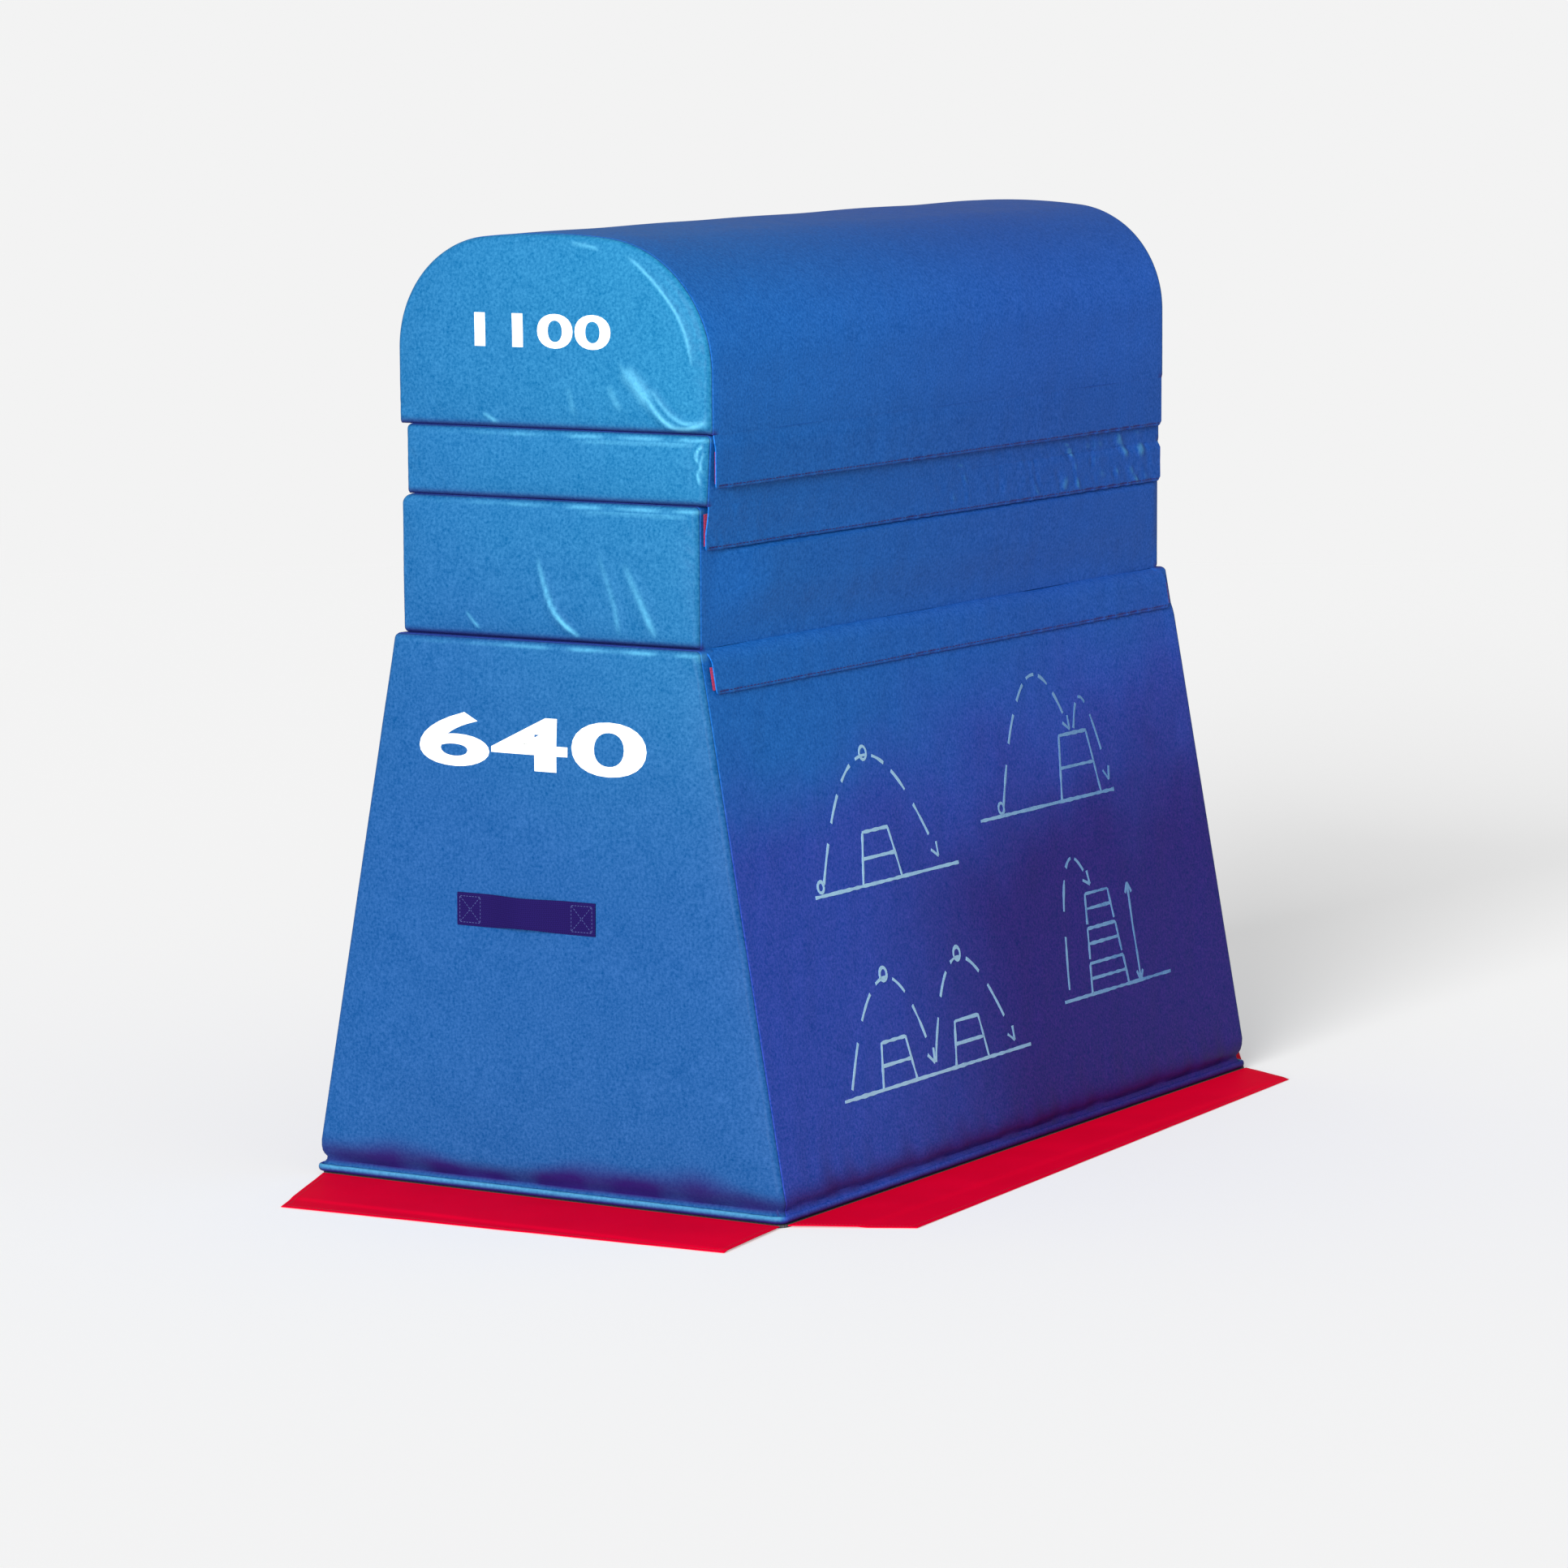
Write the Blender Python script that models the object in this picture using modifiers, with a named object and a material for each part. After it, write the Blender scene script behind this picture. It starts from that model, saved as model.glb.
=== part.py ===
"""Foam vaulting trainer: four stacked foam blocks in vinyl covers, joined by hook-and-loop flaps.

Metres, +Z up. X runs along the block, Y across it, and the origin is on the floor under the centre.
The front end is at -X and the right-hand long side is at -Y.
"""

import math
from dataclasses import dataclass

import bmesh
import bpy
from mathutils import Matrix, Vector

# Overall sizes
BASE_HEIGHT = 0.640
LOWER_RISER_HEIGHT = 0.160
UPPER_RISER_HEIGHT = 0.080
CAP_HEIGHT = 0.220
BLOCK_LENGTH = 1.080
CAP_WIDTH = 0.420
BASE_BOTTOM_WIDTH = 0.628
BASE_STEP_END = 0.012
BASE_STEP_SIDE = 0.0058
BASE_END_BATTER = 0.016

# Softness of the padded forms
CAP_SHOULDER = 0.140
CAP_TOP_ANGLE = math.radians(6.0)
END_CROWN = 0.005
BLOCK_EDGE = 0.008
BASE_EDGE = 0.010
BASE_SHOULDER = 0.020
RISER_SHOULDER = 0.006
FLAPPED_EDGE = 0.0008
TIGHTEST_ROUND = 0.0004

# Sheet goods
CLEARANCE = 0.0003
VINYL = 0.0010
FLAP_SHEET = 0.0015
TAPE = 0.0015
PANEL = 0.0030
PIPING_RADIUS = 0.0030
COVER_RIM = 0.040

# Joint flaps
CAP_FLAP_DROP = 0.060
UPPER_FLAP_DROP = 0.050
LOWER_FLAP_DROP = 0.050
FLAP_END_INSET = 0.011
FLAP_CORNER = 0.006
TAPE_HEIGHT = 0.036
SLOPE_TAPE_HEIGHT = 0.026
TAPE_ABOVE_HEM = 0.005
TAPE_END_INSET = 0.001

# Floor flaps, seen from above with the floor beyond them: for the left and the right end, how far
# it reaches out, how far it stays in from the panel's corner, and how far it is cut back outside
FRONT_FLAP_CUT = ((0.143, 0.179), (0.004, 0.0065), (-0.0155, 0.0688))
REAR_FLAP_CUT = ((0.179, 0.140), (0.004, 0.0065), (-0.0155, 0.0690))
RIGHT_FLAP_CUT = ((0.080, 0.1287), (0.006, 0.0107), (0.0395, 0.0653))
LEFT_FLAP_CUT = ((0.080, 0.1287), (0.062, 0.010), (0.085, 0.040))
FLOOR_TAPE_WIDTH = 0.050
FLOOR_TAPE_MARGIN = 0.012
FLOOR_TAPE_END = 0.060

# Webbing handles
HANDLE_WIDTH = 0.038
HANDLE_THICKNESS = 0.0018
HANDLE_LENGTH = 0.188
HANDLE_PAD = 0.036
HANDLE_BOW = 0.015
HANDLE_HEIGHT = 0.329
HANDLE_OFF_CENTRE = 0.025

# Zips
ZIP_END = 0.090
ZIP_TAPE = 0.0008
ZIP_FLANGE = 0.013
ZIP_CHANNEL = 0.024
CHAIN_WIDTH = 0.0050
CHAIN_DEPTH = 0.0016
SLIDER_WALL = 0.0018
SLIDER_FLOOR = 0.0010
SLIDER_LENGTH = 0.014
PULL_WIDTH = 0.006
PULL_LENGTH = 0.026
PULL_THICKNESS = 0.0010
PULL_CLEARANCE = 0.0007
ZIP_STOP = 0.010

# Facets
EDGE_STEPS = 4
CAP_SHOULDER_STEPS = 10
CAP_TOP_STEPS = 4
END_STEPS = 4
BEND_STEPS = 8
BOW_STEPS = 12
CROWN_RINGS = (0.75, 0.5)

# Sizes worked out from the ones above
FLAP_STACK = FLAP_SHEET + 2 * TAPE + 3 * CLEARANCE
FLOOR_FLAP_THICKNESS = PANEL - CLEARANCE - TAPE
UPPER_RISER_WIDTH = CAP_WIDTH - 2 * FLAP_STACK
LOWER_RISER_WIDTH = UPPER_RISER_WIDTH - 2 * FLAP_STACK
BASE_TOP_WIDTH = LOWER_RISER_WIDTH + 2 * BASE_STEP_SIDE
BASE_TOP_LENGTH = BLOCK_LENGTH + 2 * BASE_STEP_END
BASE_BOTTOM_LENGTH = BASE_TOP_LENGTH + 2 * BASE_END_BATTER
ZIP_LENGTH = BLOCK_LENGTH - 2 * ZIP_END
ZIP_CHANNEL_RISE = CHAIN_DEPTH + CLEARANCE + SLIDER_FLOOR + PULL_THICKNESS + PULL_CLEARANCE
BASE_TOP = BASE_HEIGHT
LOWER_RISER_TOP = BASE_TOP + LOWER_RISER_HEIGHT
UPPER_RISER_TOP = LOWER_RISER_TOP + UPPER_RISER_HEIGHT
CAP_TOP = UPPER_RISER_TOP + CAP_HEIGHT

COLOURS = {
    "vinyl_blue": ((0.028, 0.155, 0.480), 0.42, 0.0),
    "flap_blue": ((0.022, 0.120, 0.400), 0.45, 0.0),
    "piping_blue": ((0.020, 0.130, 0.450), 0.40, 0.0),
    "floor_flap_red": ((0.680, 0.004, 0.020), 0.60, 0.0),
    "tape_red": ((0.520, 0.006, 0.060), 0.85, 0.0),
    "webbing_navy": ((0.030, 0.016, 0.140), 0.75, 0.0),
    "grip_grey": ((0.060, 0.062, 0.066), 0.85, 0.0),
    "foam_cream": ((0.780, 0.720, 0.520), 0.95, 0.0),
    "zip_black": ((0.015, 0.015, 0.018), 0.60, 0.0),
    "slider_steel": ((0.420, 0.420, 0.440), 0.30, 1.0),
}


@dataclass(frozen=True)
class Block:
    """One padded block: its span up Z, its half widths and lengths at foot and top, and its rounds."""

    bottom: float
    top: float
    half_foot: float
    half_top: float
    length_foot: float
    length_top: float
    foot_round: float
    shoulder: float
    end_round: float
    shoulder_steps: int = EDGE_STEPS
    top_angle: float = 0.0
    top_steps: int = 0

    @property
    def side_slope(self):
        """Change of half width with height."""
        return (self.half_top - self.half_foot) / (self.top - self.bottom)

    def half_width(self, z):
        """Half width of the flat side at height z."""
        return self.half_foot + self.side_slope * (z - self.bottom)

    def half_length(self, z):
        """Half length to the rim of the end face at height z."""
        share = (z - self.bottom) / (self.top - self.bottom)
        return (self.length_foot + (self.length_top - self.length_foot) * share) / 2


def riser(bottom, top, width):
    """An upright block whose long sides run straight on into its flaps."""
    return Block(bottom + CLEARANCE, top, width / 2, width / 2, BLOCK_LENGTH, BLOCK_LENGTH,
                 FLAPPED_EDGE, RISER_SHOULDER, BLOCK_EDGE)


BASE = Block(PANEL + CLEARANCE, BASE_TOP, BASE_BOTTOM_WIDTH / 2, BASE_TOP_WIDTH / 2,
             BASE_BOTTOM_LENGTH, BASE_TOP_LENGTH, BASE_EDGE, BASE_SHOULDER, BASE_EDGE)
LOWER_RISER = riser(BASE_TOP, LOWER_RISER_TOP, LOWER_RISER_WIDTH)
UPPER_RISER = riser(LOWER_RISER_TOP, UPPER_RISER_TOP, UPPER_RISER_WIDTH)
CAP = Block(UPPER_RISER_TOP + CLEARANCE, CAP_TOP, CAP_WIDTH / 2, CAP_WIDTH / 2,
            BLOCK_LENGTH, BLOCK_LENGTH, FLAPPED_EDGE, CAP_SHOULDER, BLOCK_EDGE,
            CAP_SHOULDER_STEPS, CAP_TOP_ANGLE, CAP_TOP_STEPS)


def clear_scene():
    """Remove whatever objects the scene holds."""
    for thing in list(bpy.data.objects):
        bpy.data.objects.remove(thing, do_unlink=True)


def new_collection(name):
    """A collection linked under the scene."""
    group = bpy.data.collections.new(name)
    bpy.context.scene.collection.children.link(group)
    return group


def material(name):
    """The Principled material of one of the object's finishes."""
    found = bpy.data.materials.get(name)
    if found:
        return found
    colour, roughness, metallic = COLOURS[name]
    made = bpy.data.materials.new(name)
    made.use_nodes = True
    shader = made.node_tree.nodes["Principled BSDF"]
    shader.inputs["Base Color"].default_value = (*colour, 1.0)
    shader.inputs["Roughness"].default_value = roughness
    shader.inputs["Metallic"].default_value = metallic
    made.diffuse_color = (*colour, 1.0)
    return made


def add_object(name, data, group, finish=None):
    """Put a mesh or curve in a collection as a named object."""
    made = bpy.data.objects.new(name, data)
    group.objects.link(made)
    if finish:
        made.data.materials.append(material(finish))
    return made


def add_cutter(name, data, group):
    """Put a mesh in the cutters' collection, drawn as wire and left out of the model."""
    made = add_object(name, data, group)
    made.hide_render = True
    made.display_type = "WIRE"
    return made


def cut(target, cutter):
    """Take one solid out of another."""
    step = target.modifiers.new(cutter.name, "BOOLEAN")
    step.operation = "DIFFERENCE"
    step.solver = "EXACT"
    step.object = cutter


def box_mesh(name, low, high):
    """A box between two corners."""
    mesh = bmesh.new()
    bmesh.ops.create_cube(mesh, size=1.0)
    size = Vector(high) - Vector(low)
    bmesh.ops.scale(mesh, vec=size, verts=mesh.verts)
    bmesh.ops.translate(mesh, vec=(Vector(high) + Vector(low)) / 2, verts=mesh.verts)
    data = bpy.data.meshes.new(name)
    mesh.to_mesh(data)
    mesh.free()
    return data


def arc(centre, radius, start, stop, steps):
    """Points of a round stretch, both ends included."""
    turns = (start + (stop - start) * k / steps for k in range(steps + 1))
    return [(centre[0] + radius * math.cos(a), centre[1] + radius * math.sin(a)) for a in turns]


def section(block, inset):
    """The block's closed outline across its length, in (y, z), moved in from its skin by inset."""
    slope = block.side_slope
    stretch = math.hypot(1.0, slope)
    side = math.atan2(-slope, 1.0)

    foot = max(block.foot_round, inset + TIGHTEST_ROUND)
    foot_z = block.bottom + foot
    foot_centre = (block.half_width(foot_z) - foot * stretch, foot_z)
    right = arc(foot_centre, foot - inset, -math.pi / 2, side, EDGE_STEPS)

    shoulder = max(block.shoulder, inset + TIGHTEST_ROUND)
    lean = block.top_angle
    if lean:
        reach = block.half_top - shoulder
        top_radius = shoulder + reach / math.sin(lean)
        shoulder_z = block.top - top_radius + (top_radius - shoulder) * math.cos(lean)
    else:
        shoulder_z = block.top - shoulder
    shoulder_centre = (block.half_width(shoulder_z) - shoulder * stretch, shoulder_z)
    right += arc(shoulder_centre, shoulder - inset, side, math.pi / 2 - lean, block.shoulder_steps)

    left = [(-y, z) for y, z in reversed(right)]
    if not lean:
        return right + left
    crest = arc((0.0, block.top - top_radius), top_radius - inset,
                math.pi / 2 - lean, math.pi / 2 + lean, block.top_steps)
    return right + crest[1:-1] + left


def end_stations(block, inset):
    """From the straight stretch outwards: distance past the rim of the end face, inset, scale."""
    turn = block.end_round - inset
    rings = []
    for k in range(END_STEPS + 1):
        angle = math.pi / 2 * k / END_STEPS
        past_rim = -block.end_round + turn * math.sin(angle)
        rings.append((past_rim, inset + turn * (1 - math.cos(angle)), 1.0))
    for scale in CROWN_RINGS:
        rings.append((-inset + END_CROWN * (1 - scale * scale), block.end_round, scale))
    return rings


def block_mesh(name, block, inset=0.0):
    """A padded block lofted along X, with rounded rims and crowned end faces."""
    mesh = bmesh.new()
    middle = (block.bottom + block.top) / 2
    rings = []
    outward = end_stations(block, inset)
    for sign, stations in ((-1, reversed(outward)), (1, outward)):
        for past_rim, depth, scale in stations:
            ring = []
            for y, z in section(block, depth):
                height = middle + (z - middle) * scale
                x = sign * (block.half_length(z) + past_rim)
                if scale < 1.0:
                    x = sign * (block.half_length(height) + past_rim)
                ring.append(mesh.verts.new((x, y * scale, height)))
            rings.append(ring)
    for here, there in zip(rings, rings[1:]):
        for k in range(len(here)):
            after = (k + 1) % len(here)
            mesh.faces.new((here[k], here[after], there[after], there[k]))
    mesh.faces.new(list(reversed(rings[0])))
    mesh.faces.new(rings[-1])
    bmesh.ops.recalc_face_normals(mesh, faces=mesh.faces)
    data = bpy.data.meshes.new(name)
    mesh.to_mesh(data)
    mesh.free()
    return data


def smooth(data, angle=35.0):
    """Shade a mesh smooth but for its sharp edges."""
    data.shade_smooth()
    data.set_sharp_from_angle(angle=math.radians(angle))


def flat_outline(name, outlines, thickness, group, finish):
    """A sheet cut to a flat outline, with any further outlines as holes, centred on its own plane."""
    data = bpy.data.curves.new(name, "CURVE")
    data.dimensions = "2D"
    data.fill_mode = "BOTH"
    data.extrude = thickness / 2
    for outline in outlines:
        line = data.splines.new("POLY")
        line.points.add(len(outline) - 1)
        for point, (u, v) in zip(line.points, outline):
            point.co = (u, v, 0.0, 1.0)
        line.use_cyclic_u = True
    return add_object(name, data, group, finish)


def rounded_rectangle(half_x, half_y, radius, steps):
    """The outline of a rectangle with round corners."""
    corners = ((1, 1, 0.0), (-1, 1, 0.5), (-1, -1, 1.0), (1, -1, 1.5))
    points = []
    for sx, sy, start in corners:
        centre = (sx * (half_x - radius), sy * (half_y - radius))
        points += arc(centre, radius, start * math.pi, (start + 0.5) * math.pi, steps)
    return points


def along_x(made, middle_x, middle_z):
    """Turn an outline drawn in (y, z) to stand across X."""
    made.rotation_euler = (math.pi / 2, 0.0, math.pi / 2)
    made.location = (middle_x, 0.0, middle_z)


def make_block(name, block, parts, cutters):
    """The foam core and its vinyl cover, which is open underneath where its zip or panel closes it."""
    foam = add_object(f"{name}_foam", block_mesh(f"{name}_foam", block, VINYL + CLEARANCE),
                      parts, "foam_cream")
    smooth(foam.data)
    floor = block.bottom if block is not BASE else 0.0
    groove_half = ZIP_CHANNEL / 2 + ZIP_FLANGE + CLEARANCE
    groove_top = floor + ZIP_CHANNEL_RISE + ZIP_TAPE + CLEARANCE
    groove_end = ZIP_LENGTH / 2 + CLEARANCE
    groove = add_cutter(f"{name}_zip_groove",
                        box_mesh("groove", (-groove_end, -groove_half, floor - BLOCK_EDGE),
                                 (groove_end, groove_half, groove_top)), cutters)
    cut(foam, groove)

    cover = add_object(f"{name}_cover", block_mesh(f"{name}_cover", block), parts, "vinyl_blue")
    smooth(cover.data)
    inside = add_cutter(f"{name}_cover_inside",
                        block_mesh(f"{name}_cover_inside", block, VINYL), cutters)
    cut(cover, inside)
    if block is BASE:
        half_x = BASE_BOTTOM_LENGTH / 2 - COVER_RIM
        half_y = BASE_BOTTOM_WIDTH / 2 - COVER_RIM
    else:
        half_x = ZIP_LENGTH / 2 - ZIP_STOP
        half_y = ZIP_CHANNEL / 2
    mouth = add_cutter(f"{name}_cover_mouth",
                       box_mesh("mouth", (-half_x, -half_y, block.bottom - BLOCK_EDGE),
                                (half_x, half_y, block.bottom + 2 * VINYL)), cutters)
    cut(cover, mouth)
    return foam, cover


def make_zip(name, block, parts):
    """A zip tape with its chain, raised in a channel, and the slider that runs on it."""
    floor = block.bottom if block is not BASE else 0.0
    wall = VINYL if block is not BASE else PANEL
    flange_low = wall + CLEARANCE
    flange_high = flange_low + ZIP_TAPE
    roof_low = ZIP_CHANNEL_RISE
    roof_high = roof_low + ZIP_TAPE
    inner = ZIP_CHANNEL / 2
    outer = inner + ZIP_FLANGE
    chain = CHAIN_WIDTH / 2
    chain_low = roof_low - CHAIN_DEPTH
    half = [(chain, chain_low), (chain, roof_low), (inner - ZIP_TAPE, roof_low),
            (inner - ZIP_TAPE, flange_low), (outer, flange_low), (outer, flange_high),
            (inner, flange_high), (inner, roof_high)]
    outline = half + [(-y, z) for y, z in reversed(half)]
    tape = flat_outline(f"{name}_zip_tape", [outline], ZIP_LENGTH, parts, "zip_black")
    along_x(tape, 0.0, floor)

    gap = CLEARANCE
    inside = chain + gap
    outside = inside + SLIDER_WALL
    ceiling = roof_low - gap
    shelf = chain_low - gap
    under = shelf - SLIDER_FLOOR
    pull = PULL_WIDTH / 2
    half = [(inside, shelf), (inside, ceiling), (outside, ceiling), (outside, under)]
    outline = half + [(-y, z) for y, z in reversed(half)]
    body = flat_outline(f"{name}_zip_slider", [outline], SLIDER_LENGTH, parts, "slider_steel")
    start = ZIP_LENGTH / 2 - ZIP_STOP - SLIDER_LENGTH / 2
    along_x(body, start, floor)
    slider = as_mesh(body, parts)
    low = (-PULL_LENGTH - SLIDER_LENGTH / 2, -pull, under - PULL_THICKNESS)
    high = (0.0, pull, under + SLIDER_FLOOR / 2)
    tab = box_mesh("pull_tab", low, high)
    tab.transform(Matrix.Translation((start, 0.0, floor)))
    fuse(slider, tab)
    return tape, slider


def as_mesh(curve_object, parts):
    """Swap a curve object for a mesh of the same shape, in world space, with its caps welded."""
    bpy.context.view_layer.update()
    graph = bpy.context.evaluated_depsgraph_get()
    data = bpy.data.meshes.new_from_object(curve_object.evaluated_get(graph))
    data.transform(curve_object.matrix_world)
    mesh = bmesh.new()
    mesh.from_mesh(data)
    bmesh.ops.remove_doubles(mesh, verts=mesh.verts, dist=0.00005)
    mesh.to_mesh(data)
    mesh.free()
    name = curve_object.name
    finish = curve_object.data.materials[0].name
    bpy.data.objects.remove(curve_object)
    data.materials.clear()
    return add_object(name, data, parts, finish)


def fuse(target, data):
    """Join a second closed mesh to a target by a union that is applied at once."""
    group = target.users_collection[0]
    other = add_object("joined_piece", data, group)
    step = target.modifiers.new("join", "BOOLEAN")
    step.operation = "UNION"
    step.solver = "EXACT"
    step.object = other
    bpy.context.view_layer.update()
    graph = bpy.context.evaluated_depsgraph_get()
    joined = bpy.data.meshes.new_from_object(target.evaluated_get(graph))
    target.modifiers.clear()
    finish = target.data.materials[0].name
    target.data = joined
    joined.materials.clear()
    joined.materials.append(material(finish))
    bpy.data.objects.remove(other)


def move_origin(made, origin):
    """Put an object's origin on its joint's axis without moving its shape."""
    made.data.transform(Matrix.Translation(-Vector(origin)))
    made.location = origin


def sheet_mesh(name, path, half_length, corner, thickness, sign):
    """A hanging sheet: its outer face follows a (y, z) path downwards, and its hem corners are cut."""
    hem = path[-1]
    above = path[-2]
    run = math.dist(hem, above)
    share = corner / run
    turn = tuple(hem[k] + (above[k] - hem[k]) * share for k in range(2))
    rows = [(point, half_length) for point in path[:-1]]
    rows += [(turn, half_length), (hem, half_length - corner)]
    mesh = bmesh.new()
    edges = []
    for (y, z), half in rows:
        edges.append([mesh.verts.new((x, sign * y, z)) for x in (-half, half)])
    for upper, lower in zip(edges, edges[1:]):
        mesh.faces.new((upper[0], upper[1], lower[1], lower[0]))
    wanted = Vector((0.0, sign, 0.0))
    mesh.normal_update()
    if sum(face.normal.dot(wanted) for face in mesh.faces) < 0:
        bmesh.ops.reverse_faces(mesh, faces=mesh.faces)
    data = bpy.data.meshes.new(name)
    mesh.to_mesh(data)
    mesh.free()
    return data


def make_flap(name, path, drop_line, tape_height, upper, parts, sign, side, lower_name):
    """A joint flap with its hook tape, and the loop tape on the block below.

    drop_line is the hem's outer point and the unit direction up the flap from it.
    """
    half = upper.length_foot / 2 - FLAP_END_INSET
    hinge = (0.0, sign * path[0][0], path[0][1])
    sheet = add_object(f"{name}_flap_{side}",
                       sheet_mesh(name, path, half, FLAP_CORNER, FLAP_SHEET, sign), parts, "flap_blue")
    shell = sheet.modifiers.new("thickness", "SOLIDIFY")
    shell.thickness = FLAP_SHEET
    shell.offset = -1.0
    shell.use_even_offset = True
    move_origin(sheet, hinge)

    hem, up = drop_line
    inward = (-up[1], up[0])
    tilt = math.atan2(up[0], up[1])
    lengths = half - TAPE_END_INSET
    depths = {f"{name}_flap_hook_{side}": FLAP_SHEET + CLEARANCE,
              f"{lower_name}_loop_{side}": FLAP_SHEET + TAPE + 2 * CLEARANCE}
    made = [sheet]
    for tape_name, depth in depths.items():
        climb = TAPE_ABOVE_HEM + tape_height / 2
        out_y = hem[0] + up[0] * climb + inward[0] * (depth + TAPE / 2)
        out_z = hem[1] + up[1] * climb + inward[1] * (depth + TAPE / 2)
        low = (-lengths, -TAPE / 2, -tape_height / 2)
        high = (lengths, TAPE / 2, tape_height / 2)
        tape = add_object(tape_name, box_mesh(tape_name, low, high), parts, "tape_red")
        tape.location = (0.0, sign * out_y, out_z)
        tape.rotation_euler = (-sign * tilt, 0.0, 0.0)
        made.append(tape)
    return made


def straight_flap(upper, drop):
    """Path and hem of a flap that hangs straight down from a block's side."""
    y = upper.half_foot
    z = upper.bottom - CLEARANCE
    hem = (y, z - drop)
    return [(y, z), hem], (hem, (0.0, 1.0))


def bent_flap(upper, lower, drop):
    """Path and hem of the flap that winds out round the base's shoulder and lies along its slope."""
    slope = lower.side_slope
    stretch = math.hypot(1.0, slope)
    centre_z = lower.top - lower.shoulder
    centre = Vector((lower.half_width(centre_z) - lower.shoulder * stretch, centre_z))
    seam = Vector((upper.half_foot, upper.bottom - CLEARANCE)) - centre
    start = math.atan2(seam.y, seam.x)
    stop = math.atan2(-slope, 1.0)
    outer = lower.shoulder + FLAP_STACK
    path = []
    for k in range(BEND_STEPS + 1):
        share = k / BEND_STEPS
        turn = start + (stop - start) * share
        reach = seam.length + (outer - seam.length) * share
        path.append((centre.x + reach * math.cos(turn), centre.y + reach * math.sin(turn)))
    hem_z = lower.top - drop
    hem = (lower.half_width(hem_z) + FLAP_STACK * stretch, hem_z)
    up = (Vector(path[-1]) - Vector(hem)).normalized()
    path.append(hem)
    return path, (hem, tuple(up))


def piping_line(half_foot, slope):
    """Distance from the centre to the piping, which nests against the base's rounded foot."""
    foot_centre = half_foot + slope * BASE_EDGE - BASE_EDGE * math.hypot(1.0, slope)
    return foot_centre + PIPING_CORNER


PIPING_NEST = BASE_EDGE + PIPING_RADIUS + 2 * CLEARANCE
PIPING_CORNER = math.sqrt(PIPING_NEST ** 2 - (BASE_EDGE - PIPING_RADIUS) ** 2)
END_SLOPE = (BASE_TOP_LENGTH - BASE_BOTTOM_LENGTH) / 2 / (BASE.top - BASE.bottom)
PIPING_X = piping_line(BASE_BOTTOM_LENGTH / 2, END_SLOPE)
PIPING_Y = piping_line(BASE_BOTTOM_WIDTH / 2, BASE.side_slope)
EDGE_X = PIPING_X + PIPING_RADIUS
EDGE_Y = PIPING_Y + PIPING_RADIUS


def make_base_trim(parts):
    """The grip panel under the base and the piping sewn into the seam round it."""
    outer = rounded_rectangle(EDGE_X, EDGE_Y, PIPING_CORNER + PIPING_RADIUS, EDGE_STEPS)
    half_slot = ZIP_LENGTH / 2 - ZIP_STOP
    slot = [(half_slot, ZIP_CHANNEL / 2), (-half_slot, ZIP_CHANNEL / 2),
            (-half_slot, -ZIP_CHANNEL / 2), (half_slot, -ZIP_CHANNEL / 2)]
    panel = flat_outline("base_bottom_panel", [outer, slot], PANEL, parts, "grip_grey")
    panel.location = (0.0, 0.0, PANEL / 2)

    data = bpy.data.curves.new("base_piping", "CURVE")
    data.dimensions = "3D"
    data.bevel_depth = PIPING_RADIUS
    data.bevel_resolution = 2
    line = data.splines.new("POLY")
    route = rounded_rectangle(PIPING_X, PIPING_Y, PIPING_CORNER, EDGE_STEPS)
    line.points.add(len(route) - 1)
    for point, (x, y) in zip(line.points, route):
        point.co = (x, y, 0.0, 1.0)
    line.use_cyclic_u = True
    piping = add_object("base_piping", data, parts, "piping_blue")
    piping.location = (0.0, 0.0, PANEL + CLEARANCE + PIPING_RADIUS)
    return panel, piping


def make_floor_flap(name, edge, corner, cut, turn, parts):
    """A floor flap hinged along the panel's edge, with the hook tape that grips a mat under it.

    The outline is drawn with +Y outwards, then turned about Z into place.
    """
    reaches, insets, mitres = cut
    start = edge + CLEARANCE
    inner = (insets[0] - corner, corner - insets[1])
    outer = (inner[0] + mitres[0], inner[1] - mitres[1])
    outline = [(inner[0], 0.0), (inner[1], 0.0), (outer[1], reaches[1]), (outer[0], reaches[0])]
    flap = flat_outline(f"floor_flap_{name}", [outline], FLOOR_FLAP_THICKNESS, parts, "floor_flap_red")
    far = min(reaches) - FLOOR_TAPE_MARGIN
    near = far - FLOOR_TAPE_WIDTH
    left = max(inner[0], outer[0]) + FLOOR_TAPE_END
    right = min(inner[1], outer[1]) - FLOOR_TAPE_END
    strip = [(left, near), (right, near), (right, far), (left, far)]
    tape = flat_outline(f"floor_flap_hook_{name}", [strip], TAPE, parts, "tape_red")
    heading = Matrix.Rotation(turn, 4, "Z")
    heights = {flap: PANEL - FLOOR_FLAP_THICKNESS / 2, tape: TAPE / 2}
    for made, height in heights.items():
        rise = height - PANEL
        made.data.transform(Matrix.Translation((0.0, 0.0, rise)))
        made.location = heading @ Vector((0.0, start, PANEL))
        made.rotation_euler = (0.0, 0.0, turn)
    return flap, tape


def handle_face(z):
    """Distance from the centre to the flat middle of the base's end face at height z."""
    return BASE.half_length(z) + END_CROWN * (1 - CROWN_RINGS[-1] ** 2)


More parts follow.
